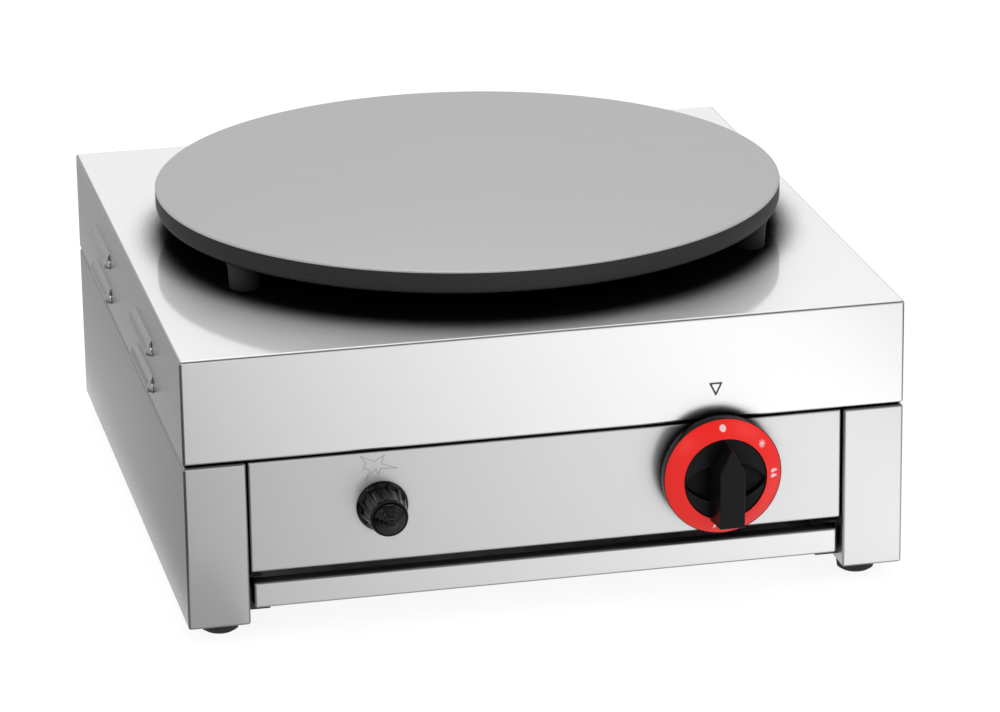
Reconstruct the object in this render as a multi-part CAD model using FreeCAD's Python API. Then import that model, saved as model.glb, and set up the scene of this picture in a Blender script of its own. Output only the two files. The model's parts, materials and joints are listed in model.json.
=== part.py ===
"""Gas crepe maker for a counter top: cast plate on a folded stainless cabinet.

The origin is on the counter, under the middle of the cabinet.
+X points to the viewer's right, +Y to the back and +Z up. All sizes are in millimetres.
"""
import FreeCAD, Part
import math
import os

V = FreeCAD.Vector
Y_AXIS = (0, 1, 0)
Z_AXIS = (0, 0, 1)

# Cabinet
BODY_W = 447.0
BODY_D = 448.0
SHEET = 1.2
BEND = 1.8
FOOT_H = 10.0
SEAM_Z = 115.0
SEAM_GAP = 1.2
HOOD_H = 65.8
POST_W = 38.0
POST_RETURN = 30.0
TOP_LIP = 14.0
HOOD_LIP = 12.0
REAR_LIP = 20.0
UPSTAND = 14.0
REAR_PANEL_Z0 = 26.0
BURNER_HOLE_R = 145.0
COLLAR_H = 4.0

# Louvres pressed out of the hood's side skirts
LOUVRE_L = 76.0
LOUVRE_H = 9.0
LOUVRE_PROUD = 4.0
LOUVRE_Y = (-76.0, 104.0)
LOUVRE_TOP_DEPTHS = (23.6, 47.3)

# Cast plate and its three legs
PLATE_R = 200.0
PLATE_T = 15.0
PLATE_GAP = 17.0
PLATE_BEVEL = 1.0
PLATE_RIM_CURVE = 4.0
PLATE_HEATED_R = 160.0
PLATE_RECESS = 2.0
LEG_R = 9.8
LEG_RADIUS = 186.5
LEG_ANGLES = (-150.0, -30.0, 90.0)
PLATE_BOLT_R = 4.0
PLATE_BOLT_BITE = 13.0
PLATE_BOLT_HEX = 13.0

# Control panel, air slot and tray front
PANEL_RECESS = 2.0
PANEL_SIDE_GAP = 0.9
PANEL_Z0 = 42.5
PANEL_LIP = 15.0
BAR_Z0 = 19.0
BAR_H = 16.5
BAR_RECESS = 3.0
BAR_SIDE_GAP = 3.0
BAR_LIP = 9.0

# Tray, glides and runners
TRAY_BACK_INSET = 34.0
TRAY_H = 13.5
TRAY_SHEET = 1.0
GLIDE_FOOT = 12.0
GLIDE_T = 2.7
GLIDE_FLOOR = 3.7
GLIDE_H = 14.0
RUNNER_H = 22.2
RUNNER_LEDGE = 14.0
RUNNER_LIP = 9.0
RUNNER_FRONT_SETBACK = 12.0
TRAY_BACK_CLEAR = 8.0

# Feet
FOOT_R = 11.8
FOOT_INSET_X = 22.5
FOOT_INSET_Y = 24.0
FOOT_SCREW_R = 2.5

# Knob and gas tap
KNOB_X = 105.3
KNOB_Z = 82.7
KNOB_PUSH = 5.0
SKIRT_R = 37.0
DIAL_R = 36.6
DIAL_INNER_R = 25.9
DIAL_T = 0.8
DIAL_EDGE_OUT = 14.6
DIAL_RISE = 6.8
SKIRT_DEPTH = 7.0
GRIP_W = 15.8
GRIP_OUT = 38.0
TAP_R = 11.0
SPINDLE_R = 4.0
SPINDLE_FLAT = 2.6
TAP_BLOCK = 16.0

# Piezo igniter
IGNITER_X = -103.1
IGNITER_Z = 78.1
IGNITER_FLANGE_R = 15.8
IGNITER_RIM_R = 11.8
IGNITER_RIM_OUT = 22.5
IGNITER_TIP_OUT = 32.0
IGNITER_PUSH = 5.5
BUTTON_R = 9.7
BARREL_R = 11.0

# Burner and its gas way
ARM_COUNT = 8
ARM_R = 8.0
ARM_BORE = 6.0
ARM_REACH = 132.0
ARM_Z = 162.0
SLOTS_PER_ARM = 6
SLOT_W = 1.6
SLOT_DEPTH = 3.4
HUB_R = 32.0
HUB_WALL = 4.0
HUB_Z0 = 130.0
MIX_Z = 141.0
MIX_R = 12.0
MIX_WALL = 1.5
BELL_R = 16.0
BELL_L = 15.0
BELL_Y = -160.0
RAIL_Y = 75.0
RAIL_W = 20.0
RAIL_H = 12.0
RAIL_SHEET = 1.5
PIPE_R = 5.0
FEED_R = 4.0
PIPE_WALL = 1.0

# Gas inlet: a half-inch parallel thread behind the cabinet
INLET_INSET = 22.5
THREAD_R = 10.4775
THREAD_L = 18.0
INLET_REACH = 40.0
INLET_BORE = 6.0
NUT_AF = 27.0

# Small clearances
RUN_FIT = 0.05
SHAFT_FIT = 0.08
AIR = 0.3
BOLT_FIT = 0.25
TINY = 1e-4

# Derived planes
HALF_W = BODY_W / 2
HALF_D = BODY_D / 2
HOOD_TOP = SEAM_Z + HOOD_H
PANEL_TOP = SEAM_Z - SEAM_GAP
PLATE_Z0 = HOOD_TOP + PLATE_GAP
PLATE_TOP = PLATE_Z0 + PLATE_T
FRONT_Y = -HALF_D
FOOT_X = HALF_W - FOOT_INSET_X
FOOT_Y = HALF_D - FOOT_INSET_Y
TRAY_BACK_Y = HALF_D - TRAY_BACK_INSET
POST_X = HALF_W - POST_W
INLET_X = POST_X - INLET_INSET
PANEL_Y = FRONT_Y + PANEL_RECESS
PANEL_X = POST_X - PANEL_SIDE_GAP
PANEL_BACK_Y = PANEL_Y + SHEET
BAR_Y = FRONT_Y + BAR_RECESS
BAR_X = POST_X - BAR_SIDE_GAP
FLOOR_TOP = FOOT_H + SHEET
LIP_TOP = SEAM_Z + SHEET
RAIL_TOP = LIP_TOP + RAIL_H
TRAY_Z0 = BAR_Z0 + SHEET
TRAY_X = BAR_X - SHEET
GLIDE_Z0 = TRAY_Z0 - AIR - GLIDE_FLOOR
RUNNER_Z0 = GLIDE_Z0 - SHEET
RUNNER_X = POST_X - SHEET
RUNNER_Y0 = FRONT_Y + RUNNER_FRONT_SETBACK
RUNNER_Y1 = TRAY_BACK_Y + TRAY_BACK_CLEAR
REAR_INNER_Y = HALF_D - SHEET
HOOD_INNER_X = HALF_W - SHEET

# Screws, rivets and vents of the cabinet
HOOD_SCREW_X = HALF_W - 8.0
HOOD_SCREW_Y = (74.0 - HALF_D, 0.0, HALF_D - 74.0)
HOOD_SCREW_R = 2.0
SPACER_R = 5.0
PANEL_SCREW_Z = (60.0, 100.0)
PANEL_SCREW_Y = PANEL_Y + PANEL_LIP / 2 + 2
REAR_SCREW_X = HALF_W - 14.0
REAR_SCREW_Z = (40.0, 98.0)
RIVET_Z = FLOOR_TOP + 9.0
RIVET_Y = (16.0 - HALF_D, -60.0, 60.0, HALF_D - 44.0)
SMALL_SCREW_R = 2.0
VENT_COUNT = 9
VENT_PITCH = 11.0
VENT_W = 4.5
VENT_H = 44.0
VENT_Z = 76.0
VENT_X = (-120.0, 40.0)
REAR_PANEL_X = HALF_W - REAR_LIP + 12.0

# Burner screws, mixing tube and injector
PLATE_WASHER_T = 1.6
LUG_R = 6.0
LUG_SCREW_R = 2.5
RAIL_END_X = HOOD_INNER_X - 2.8
MIX_END_Y = -HUB_R + HUB_WALL
THROAT_R = 8.0
WINDOW_W = 11.0
SHUTTER_GAP = 0.1
BRACKET_Y = BELL_Y - 17.0
HOLDER_Y = BRACKET_Y - 8.0
HOLDER_HALF = 8.0
HOLDER_Z0 = MIX_Z - 11.0

# Pipes and tap
PIPE_Y1 = REAR_INNER_Y - SHEET - 20.0
TAP_Y = PANEL_BACK_Y + 16.0
TAP_BACK_Y = TAP_Y + 45.0
PORT_Y = TAP_Y + 20.0
PORT_REACH = TAP_BLOCK + 6.5
NUT_PER_PIPE = 3.2
PUSH_ROD_R = 2.0
SPINDLE_BACK_Y = TAP_Y + 4
MAGNET_L = 30.0

# Knob
DIAL_EDGE_Y = PANEL_Y - DIAL_EDGE_OUT
DIAL_FRONT_Y = DIAL_EDGE_Y - DIAL_RISE
GRIP_Y = PANEL_Y - GRIP_OUT
SPINDLE_FRONT_Y = DIAL_FRONT_Y + 2.0
KNOB_BACK_Y = DIAL_EDGE_Y + SKIRT_DEPTH
BONNET_Y = KNOB_BACK_Y + KNOB_PUSH + AIR
HUB_FACE_Y = DIAL_FRONT_Y + 0.8
KNOB_WALL = 2.2
SCOOP_R = 32.0
SCOOP_OFFSET = 19.5
SCOOP_DEPTH = 3.0
GRIP_LOW = 26.2
GRIP_SHOULDER = 9.9
GRIP_TIP = 25.1
GRIP_BEND = -3.5
GRIP_SLOPE = 1.0
GRIP_DRAFT = 2.0
CLIP_R = 8.0

# Igniter
NUT_THREAD_L = 6.0
STEM_R = 4.0
STEM_BACK_OUT = 22.0
BARREL_L = 56.0
RIDGES = 12
RIDGE_W = 2.3
RIDGE_R = 14.4
NUT_ROOT_R = 12.8
NUT_WAIST_R = 11.2
SHOULDER_R = 13.0
SHOULDER_T = 3.0
THICK_BARREL_SHARE = 0.4
TERMINAL_R = 3.0
TERMINAL_L = 6.0
DOME_STEPS = ((8.9, 2.2), (7.4, 2.8), (7.0, 4.5), (5.3, 5.1), (4.7, 6.8), (3.2, 7.4), (2.6, 8.8))

# Sensors and shield
SENSOR_Y = -RAIL_Y - RAIL_W / 2 - 8.0
ELECTRODE_X = -36.0
PROBE_X = -68.0
SENSOR_Z = RAIL_TOP + 5.0
CERAMIC_R = 3.0
TIP_Z = ARM_Z + ARM_R + 6.0
LEAD_LOOP = 18.8
SHIELD_X = (40.0, HALF_W - 16.0)
SHIELD_BACK_Y = FRONT_Y + 96.0


def box(x_span, y_span, z_span):
    """A box between two planes on each axis."""
    size = [span[1] - span[0] for span in (x_span, y_span, z_span)]
    return Part.makeBox(*size, V(x_span[0], y_span[0], z_span[0]))


def rod(radius, start, end):
    """A round bar from one point to another."""
    run = V(*end) - V(*start)
    return Part.makeCylinder(radius, run.Length, V(*start), run)


def tube(outer, inner, start, end):
    """A round tube from one point to another."""
    return rod(outer, start, end).cut(rod(inner, start, end))


def place_along(shape, base, axis):
    """Turn a shape built up the Z axis so that it points along an axis from a base point."""
    shape.Placement = FreeCAD.Placement(V(*base), FreeCAD.Rotation(V(0, 0, 1), V(*axis)))
    return shape


def hexagon(across_flats, start, end):
    """A hexagonal bar from one point to another."""
    run = V(*end) - V(*start)
    corner = across_flats / math.sqrt(3)
    corners = [V(corner * math.cos(a * math.pi / 3), corner * math.sin(a * math.pi / 3), 0) for a in range(7)]
    bar = Part.Face(Part.makePolygon(corners)).extrude(V(0, 0, run.Length))
    return place_along(bar, start, run)


def turned(outline, base, axis):
    """A turned piece. The outline is (radius, height) points; a pair of points is an arc's middle and end."""
    edges = []
    here = V(outline[0][0], 0, outline[0][1])
    for item in list(outline[1:]) + [outline[0]]:
        if isinstance(item[0], tuple):
            middle, end = V(item[0][0], 0, item[0][1]), V(item[1][0], 0, item[1][1])
            edges.append(Part.Arc(here, middle, end).toShape())
            here = end
        else:
            end = V(item[0], 0, item[1])
            if (end - here).Length > TINY:
                edges.append(Part.LineSegment(here, end).toShape())
            here = end
    solid = Part.Face(Part.Wire(edges)).revolve(V(0, 0, 0), V(0, 0, 1), 360)
    return place_along(solid, base, axis)


def folded_box(x_span, y_span, z_span, sheet=SHEET, bend=BEND):
    """A closed box of folded sheet with rounded bends, to be opened by cuts."""
    outer = box(x_span, y_span, z_span)
    outer = outer.makeFillet(bend, outer.Edges)
    spans = [(span[0] + sheet, span[1] - sheet) for span in (x_span, y_span, z_span)]
    inner = box(*spans)
    inner = inner.makeFillet(bend - sheet, inner.Edges)
    return outer.cut(inner)


def bent_pipe(points, radius, bend, bore=0.0):
    """A pipe along straight runs joined by tangent arcs."""
    corners = [V(*point) for point in points]
    edges = []
    here = corners[0]
    for before, corner, after in zip(corners, corners[1:], corners[2:]):
        way_in = (corner - before).normalize()
        way_out = (after - corner).normalize()
        turn = way_in.getAngle(way_out)
        setback = bend * math.tan(turn / 2)
        arc_in = corner - way_in * setback
        arc_out = corner + way_out * setback
        to_centre = (way_out - way_in).normalize()
        middle = corner + to_centre * (bend / math.cos(turn / 2) - bend)
        edges.append(Part.LineSegment(here, arc_in).toShape())
        edges.append(Part.Arc(arc_in, middle, arc_out).toShape())
        here = arc_out
    edges.append(Part.LineSegment(here, corners[-1]).toShape())
    spine = Part.Wire(edges)
    start_way = corners[1] - corners[0]
    pipe = spine.makePipeShell([Part.Wire(Part.makeCircle(radius, corners[0], start_way))], True, False)
    if bore:
        hollow = spine.makePipeShell([Part.Wire(Part.makeCircle(bore, corners[0], start_way))], True, False)
        pipe = pipe.cut(hollow)
    return pipe


def mirrored(shape):
    """The same piece on the other side of the cabinet."""
    return shape.mirror(V(0, 0, 0), V(1, 0, 0))


def leg_points(z):
    """Centres of the plate's three legs at a height."""
    angles = [math.radians(a) for a in LEG_ANGLES]
    return [(LEG_RADIUS * math.cos(a), LEG_RADIUS * math.sin(a), z) for a in angles]


def shifted(point, dx=0.0, dy=0.0, dz=0.0):
    """A point moved along the axes."""
    return (point[0] + dx, point[1] + dy, point[2] + dz)


# Hood


def louvre_cap(y_mid, z_low, sheet_inset):
    """The solid half-dome of one louvre on the left skirt, inset by a sheet thickness."""
    proud = LOUVRE_PROUD - sheet_inset
    height = LOUVRE_H - 1.5 * sheet_inset
    half = LOUVRE_L / 2 - LOUVRE_PROUD
    skirt_x = -HALF_W
    middle = (skirt_x - proud * 0.80, z_low + height * 0.52)

    def section(y):
        corner = V(skirt_x, y, z_low)
        tip = V(skirt_x - proud, y, z_low)
        top = V(skirt_x, y, z_low + height)
        edges = [Part.LineSegment(corner, tip).toShape(),
                 Part.Arc(tip, V(middle[0], y, middle[1]), top).toShape(),
                 Part.LineSegment(top, corner).toShape()]
        return Part.Face(Part.Wire(edges))

    low_end, high_end = y_mid - half, y_mid + half
    straight = section(low_end).extrude(V(0, high_end - low_end, 0))
    front = section(low_end).revolve(V(skirt_x, low_end, z_low), V(0, 0, 1), 90)
    back = section(high_end).revolve(V(skirt_x, high_end, z_low), V(0, 0, 1), -90)
    cap = straight.fuse([front, back])
    if not sheet_inset:
        return cap
    through_skirt = box((skirt_x, skirt_x + 2 * SHEET), (low_end, high_end), (z_low, z_low + height - SHEET))
    return cap.fuse(through_skirt)


def hood():
    """Pressed hood: top, four skirts, turned-in bottom lips, louvres and the burner opening."""
    shell = folded_box((-HALF_W, HALF_W), (-HALF_D, HALF_D), (SEAM_Z, HOOD_TOP))
    inner_x, inner_y = HALF_W - HOOD_LIP, HALF_D - HOOD_LIP
    shell = shell.cut(box((-inner_x, inner_x), (-inner_y, inner_y), (SEAM_Z - 1, LIP_TOP + 1)))
    cuts = [rod(BURNER_HOLE_R - SHEET, (0, 0, HOOD_TOP - 5), (0, 0, HOOD_TOP + 5))]
    for leg in leg_points(HOOD_TOP):
        cuts.append(rod(PLATE_BOLT_R + BOLT_FIT, shifted(leg, dz=-5), shifted(leg, dz=5)))
    for side in (-1, 1):
        for y in HOOD_SCREW_Y:
            x = side * HOOD_SCREW_X
            cuts.append(rod(HOOD_SCREW_R + BOLT_FIT, (x, y, SEAM_Z - 1), (x, y, LIP_TOP + 1)))
    shell = shell.cut(cuts)
    collar = tube(BURNER_HOLE_R, BURNER_HOLE_R - SHEET, (0, 0, HOOD_TOP - SHEET), (0, 0, HOOD_TOP + COLLAR_H))
    domes, hollows = [], []
    for y in LOUVRE_Y:
        for depth in LOUVRE_TOP_DEPTHS:
            z_low = HOOD_TOP - depth - LOUVRE_H
            dome, hollow = louvre_cap(y, z_low, 0.0), louvre_cap(y, z_low, SHEET)
            domes += [dome, mirrored(dome)]
            hollows += [hollow, mirrored(hollow)]
    return shell.fuse(domes + [collar]).cut(hollows).removeSplitter()


def hood_screw_points(z):
    """Places of the screws that hold the hood down."""
    return [(side * HOOD_SCREW_X, y, z) for side in (-1, 1) for y in HOOD_SCREW_Y]


def hood_screws():
    """Pan-head screws up through the cabinet's top lips into the hood's lips."""
    screws = []
    for x, y, _ in hood_screw_points(0):
        head_z = PANEL_TOP - SHEET - 2.2
        head = turned([(0, 0), (2.6, 0), (3.8, 1.2), (3.8, 2.2), (0, 2.2)], (x, y, head_z), Z_AXIS)
        screws.append(head.fuse(rod(HOOD_SCREW_R, (x, y, PANEL_TOP - SHEET), (x, y, LIP_TOP + 5))))
    return Part.makeCompound(screws)


def hood_spacers():
    """Washers that hold the hood clear of the cabinet's top lips and leave the dark seam."""
    return Part.makeCompound([tube(SPACER_R, HOOD_SCREW_R + BOLT_FIT, (x, y, PANEL_TOP), (x, y, SEAM_Z))
                              for x, y, _ in hood_screw_points(0)])


def hood_nuts():
    """Hexagon nuts on the hood's lips."""
    nuts = []
    for x, y, _ in hood_screw_points(0):
        nut = hexagon(7.0, (x, y, LIP_TOP), (x, y, LIP_TOP + 3.2))
        nuts.append(nut.cut(rod(HOOD_SCREW_R + RUN_FIT, (x, y, LIP_TOP), (x, y, LIP_TOP + 4))))
    return Part.makeCompound(nuts)


# Lower cabinet


def side_panel_left():
    """Side sheet, front post, back lip, top lip and foot flange, folded from one blank."""
    z_span = (FOOT_H, PANEL_TOP)
    shell = folded_box((-HALF_W, -POST_X), (-HALF_D, HALF_D), z_span)
    return_back = FRONT_Y + POST_RETURN
    above = PANEL_TOP + 1
    cuts = [
        box((-POST_X - BEND, -POST_X + 1), (return_back, HALF_D + 1), (FOOT_H + UPSTAND, above)),
        box((-HALF_W + TOP_LIP, -POST_X + 1), (return_back, REAR_INNER_Y), (PANEL_TOP - BEND - 1, above)),
        box((-HALF_W + REAR_LIP, -POST_X + 1), (REAR_INNER_Y - 1, HALF_D + 1), (FOOT_H + UPSTAND, above)),
    ]
    for y in (-FOOT_Y, FOOT_Y):
        cuts.append(rod(FOOT_SCREW_R + BOLT_FIT, (-FOOT_X, y, FOOT_H - 1), (-FOOT_X, y, FLOOR_TOP + 1)))
    for y in HOOD_SCREW_Y:
        x = -HOOD_SCREW_X
        cuts.append(rod(HOOD_SCREW_R + BOLT_FIT, (x, y, PANEL_TOP - 3), (x, y, PANEL_TOP + 1)))
    for z in PANEL_SCREW_Z:
        y = PANEL_SCREW_Y
        cuts.append(rod(SMALL_SCREW_R + BOLT_FIT, (-POST_X - 3, y, z), (-POST_X + 1, y, z)))
    for z in REAR_SCREW_Z:
        x = -REAR_SCREW_X
        cuts.append(rod(SMALL_SCREW_R + BOLT_FIT, (x, HALF_D - 3, z), (x, HALF_D + 1, z)))
    for y in RIVET_Y:
        cuts.append(rod(SMALL_SCREW_R + RUN_FIT, (-POST_X - 3, y, RIVET_Z), (-POST_X + 1, y, RIVET_Z)))
    return shell.cut(cuts).removeSplitter()


def rear_panel():
    """Flat back sheet behind the side panels' back lips, with two groups of upright vents."""
    y_span = (REAR_INNER_Y - SHEET, REAR_INNER_Y)
    sheet = box((-REAR_PANEL_X, REAR_PANEL_X), y_span, (REAR_PANEL_Z0, PANEL_TOP - SHEET - AIR))
    cuts = [rod(THREAD_R + BOLT_FIT, (INLET_X, y_span[0] - 1, KNOB_Z), (INLET_X, y_span[1] + 1, KNOB_Z))]
    for group_x in VENT_X:
        for i in range(VENT_COUNT):
            x = group_x + (i - (VENT_COUNT - 1) / 2) * VENT_PITCH
            half = VENT_H / 2 - VENT_W / 2
            cuts.append(box((x - VENT_W / 2, x + VENT_W / 2), (y_span[0] - 1, y_span[1] + 1),
                            (VENT_Z - half, VENT_Z + half)))
            for z in (VENT_Z - half, VENT_Z + half):
                cuts.append(rod(VENT_W / 2, (x, y_span[0] - 1, z), (x, y_span[1] + 1, z)))
    for side in (-1, 1):
        for z in REAR_SCREW_Z:
            x = side * REAR_SCREW_X
            cuts.append(rod(SMALL_SCREW_R + BOLT_FIT, (x, y_span[0] - 1, z), (x, y_span[1] + 1, z)))
    return sheet.cut(cuts)


def rear_panel_screws():
    """Pan-head screws through the back lips and the rear panel."""
    screws = []
    for side in (-1, 1):
        for z in REAR_SCREW_Z:
            x = side * REAR_SCREW_X
            head = turned([(0, 0), (3.8, 0), (3.8, 1.0), (2.6, 2.2), (0, 2.2)], (x, HALF_D, z), Y_AXIS)
            screws.append(head.fuse(rod(SMALL_SCREW_R, (x, REAR_INNER_Y - 6, z), (x, HALF_D, z))))
    return Part.makeCompound(screws)


def control_panel():
    """Recessed front panel, folded back on all four sides."""
    y_span = (PANEL_Y, PANEL_Y + PANEL_LIP + BEND)
    shell = folded_box((-PANEL_X, PANEL_X), y_span, (PANEL_Z0, PANEL_TOP))
    cuts = [box((-PANEL_X - 1, PANEL_X + 1), (PANEL_Y + PANEL_LIP, y_span[1] + 1),
                (PANEL_Z0 - 1, PANEL_TOP + 1)),
            rod(TAP_R + BOLT_FIT - 2, (KNOB_X, PANEL_Y - 1, KNOB_Z), (KNOB_X, PANEL_BACK_Y + 1, KNOB_Z)),
            rod(BARREL_R + BOLT_FIT, (IGNITER_X, PANEL_Y - 1, IGNITER_Z),
                (IGNITER_X, PANEL_BACK_Y + 1, IGNITER_Z))]
    for side in (-1, 1):
        cuts.append(rod(SMALL_SCREW_R + BOLT_FIT, shifted(tap_screw_point(side), dy=-1),
                        shifted(tap_screw_point(side), dy=SHEET + 1)))
        for z in PANEL_SCREW_Z:
            cuts.append(rod(SMALL_SCREW_R + BOLT_FIT, (side * (PANEL_X - 3), PANEL_SCREW_Y, z),
                            (side * (PANEL_X + 1), PANEL_SCREW_Y, z)))
    return shell.cut(cuts).removeSplitter()


def panel_screws():
    """Screws from inside each post, through a spacer, into the control panel's side lips."""
    screws = []
    for side in (-1, 1):
        for z in PANEL_SCREW_Z:
            head_x = POST_X + SHEET
            head = turned([(0, 0), (3.8, 0), (3.8, 1.0), (2.6, 2.2), (0, 2.2)],
                          (side * head_x, PANEL_SCREW_Y, z), (side, 0, 0))
            y = PANEL_SCREW_Y
            shank = rod(SMALL_SCREW_R, (side * head_x, y, z), (side * (PANEL_X - 7), y, z))
            screws.append(head.fuse(shank))
    return Part.makeCompound(screws)


def panel_spacers():
    """Washers that fill the gap between the posts and the control panel."""
    rings = []
    for side in (-1, 1):
        for z in PANEL_SCREW_Z:
            rings.append(tube(4.5, SMALL_SCREW_R + BOLT_FIT, (side * PANEL_X, PANEL_SCREW_Y, z),
                              (side * POST_X, PANEL_SCREW_Y, z)))
    return Part.makeCompound(rings)


def feet():
    """Four rubber feet, domed outside and hollow under the screw head."""
    outline = [(5.2, 0), (9.0, 0), (11.4, 1.6), (FOOT_R, 4.6), (FOOT_R, FOOT_H),
               (FOOT_SCREW_R + 0.1, FOOT_H), (FOOT_SCREW_R + 0.1, 5.0), (5.2, 5.0)]
    return Part.makeCompound([turned(outline, (x, y, 0), Z_AXIS) for x, y in foot_points()])


def foot_points():
    """Centres of the four feet."""
    return [(sx * FOOT_X, sy * FOOT_Y) for sx in (-1, 1) for sy in (-1, 1)]


def foot_screws():
    """Screws with nuts that hold the feet to the foot flanges."""
    screws = []
    for x, y in foot_points():
        head = rod(4.6, (x, y, 2.4), (x, y, 5.0))
        shank = rod(FOOT_SCREW_R, (x, y, 5.0), (x, y, FLOOR_TOP + 6.5))
        nut = hexagon(8.0, (x, y, FLOOR_TOP), (x, y, FLOOR_TOP + 4.0))
        screws.append(head.fuse([shank, nut]))
    return Part.makeCompound(screws)


# Tray and its runners

def tray_runner_left():
    """Channel on the inside of the left side panel, closed at the back as the tray's stop."""
    top_z = RUNNER_Z0 + RUNNER_H
    shell = box((-POST_X, -POST_X + RUNNER_LEDGE), (RUNNER_Y0, RUNNER_Y1 + SHEET), (RUNNER_Z0, top_z))
    hollow = box((-RUNNER_X, 0), (RUNNER_Y0 - 1, RUNNER_Y1), (GLIDE_Z0, RUNNER_Z0 + RUNNER_H - SHEET))
    open_top = box((-POST_X + RUNNER_LIP, 0), (RUNNER_Y0 - 1, RUNNER_Y1), (GLIDE_Z0, top_z + 1))
    cuts = [hollow, open_top]
    for y in RIVET_Y:
        cuts.append(rod(SMALL_SCREW_R + RUN_FIT, (-POST_X - 1, y, RIVET_Z), (-RUNNER_X + 1, y, RIVET_Z)))
    return shell.cut(cuts).removeSplitter()


def tray_glide_left():
    """Nylon strip in the runner that the tray slides on, rounded at its front end."""
    y_span = (RUNNER_Y0, RUNNER_Y1)
    foot = box((-RUNNER_X, -RUNNER_X + GLIDE_FOOT), y_span, (GLIDE_Z0, GLIDE_Z0 + GLIDE_FLOOR))
    corner = foot.Edges
    front_edges = [e for e in corner
                   if all(abs(v.Y - RUNNER_Y0) < TINY for v in e.Vertexes)
                   and all(abs(v.X + RUNNER_X - GLIDE_FOOT) < TINY for v in e.Vertexes)]
    foot = foot.makeFillet(GLIDE_FOOT / 2, front_edges)
    wall = box((-RUNNER_X, -RUNNER_X + GLIDE_T), y_span, (GLIDE_Z0, GLIDE_Z0 + GLIDE_H))
    return foot.fuse(wall).removeSplitter()


def runner_rivets():
    """Flush rivets between the side panels and the runners."""
    rivets = []
    for side in (-1, 1):
        for y in RIVET_Y:
            outer_x = POST_X + SHEET
            head_at = (side * outer_x, y, RIVET_Z)
            head = turned([(0, 0), (3.6, 0), (2.4, 1.4), (0, 1.4)], head_at, (side, 0, 0))
            shank = rod(SMALL_SCREW_R, (side * outer_x, y, RIVET_Z), (side * RUNNER_X, y, RIVET_Z))
            rivets.append(head.fuse(shank))
    return Part.makeCompound(rivets)


def tray_pan():
    """Shallow crumb and drip pan with rounded corners, open at the top."""
    z_top = TRAY_Z0 + TRAY_H
    shell = folded_box((-TRAY_X, TRAY_X), (BAR_Y + SHEET, TRAY_BACK_Y), (TRAY_Z0, z_top + BEND), TRAY_SHEET)
    return shell.cut(box((-BODY_W, BODY_W), (-BODY_D, BODY_D), (z_top, z_top + BEND + 1)))


def tray_front():
    """Folded bar that closes the tray's front and serves as its handle."""
    y_span = (BAR_Y, BAR_Y + BAR_LIP + BEND)
    shell = folded_box((-BAR_X, BAR_X), y_span, (BAR_Z0, BAR_Z0 + BAR_H))
    above = BAR_Z0 + BAR_H + 1
    return shell.cut(box((-BODY_W, BODY_W), (BAR_Y + BAR_LIP, y_span[1] + 1), (BAR_Z0 - 1, above)))


# Plate

def cooking_plate():
    """Cast plate with a bevelled edge, a shallow heated recess below and three cast legs."""
    recess_z = PLATE_Z0 + PLATE_RECESS
    rim = PLATE_RIM_CURVE
    outline = [(0, recess_z), (PLATE_HEATED_R - PLATE_RECESS, recess_z), (PLATE_HEATED_R, PLATE_Z0),
               (PLATE_R - rim, PLATE_Z0),
               ((PLATE_R - rim * 0.25, PLATE_Z0 + rim * 0.35), (PLATE_R, PLATE_Z0 + rim)),
               (PLATE_R, PLATE_TOP - PLATE_BEVEL), (PLATE_R - PLATE_BEVEL, PLATE_TOP), (0, PLATE_TOP)]
    plate = turned(outline, (0, 0, 0), Z_AXIS)
    flare = PLATE_GAP + 0.6
    leg_outline = [(0, 0), (LEG_R - 0.5, 0), (LEG_R, 0.5), (LEG_R + 0.5, PLATE_GAP * 0.72),
                   ((LEG_R + 0.9, PLATE_GAP * 0.9), (LEG_R + 2.0, flare)), (0, flare)]
    legs = [turned(leg_outline, leg, Z_AXIS) for leg in leg_points(HOOD_TOP)]
    holes = [rod(PLATE_BOLT_R + RUN_FIT, shifted(leg, dz=-1), shifted(leg, dz=PLATE_BOLT_BITE + 2))
             for leg in leg_points(HOOD_TOP)]
    return plate.fuse(legs).cut(holes).removeSplitter()


def plate_bolts():
    """Hexagon bolts up through the hood into the plate's legs."""
    bolts = []
    for leg in leg_points(HOOD_TOP - SHEET - PLATE_WASHER_T):
        head = hexagon(PLATE_BOLT_HEX, shifted(leg, dz=-5.3), leg)
        shank_top = SHEET + PLATE_WASHER_T + PLATE_BOLT_BITE
        bolts.append(head.fuse(rod(PLATE_BOLT_R, leg, shifted(leg, dz=shank_top))))
    return Part.makeCompound(bolts)


def plate_washers():
    """Washers between the bolt heads and the hood."""
    under = HOOD_TOP - SHEET - PLATE_WASHER_T
    return Part.makeCompound([tube(10.0, PLATE_BOLT_R + BOLT_FIT, leg, shifted(leg, dz=PLATE_WASHER_T))
                              for leg in leg_points(under)])


# Burner


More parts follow.
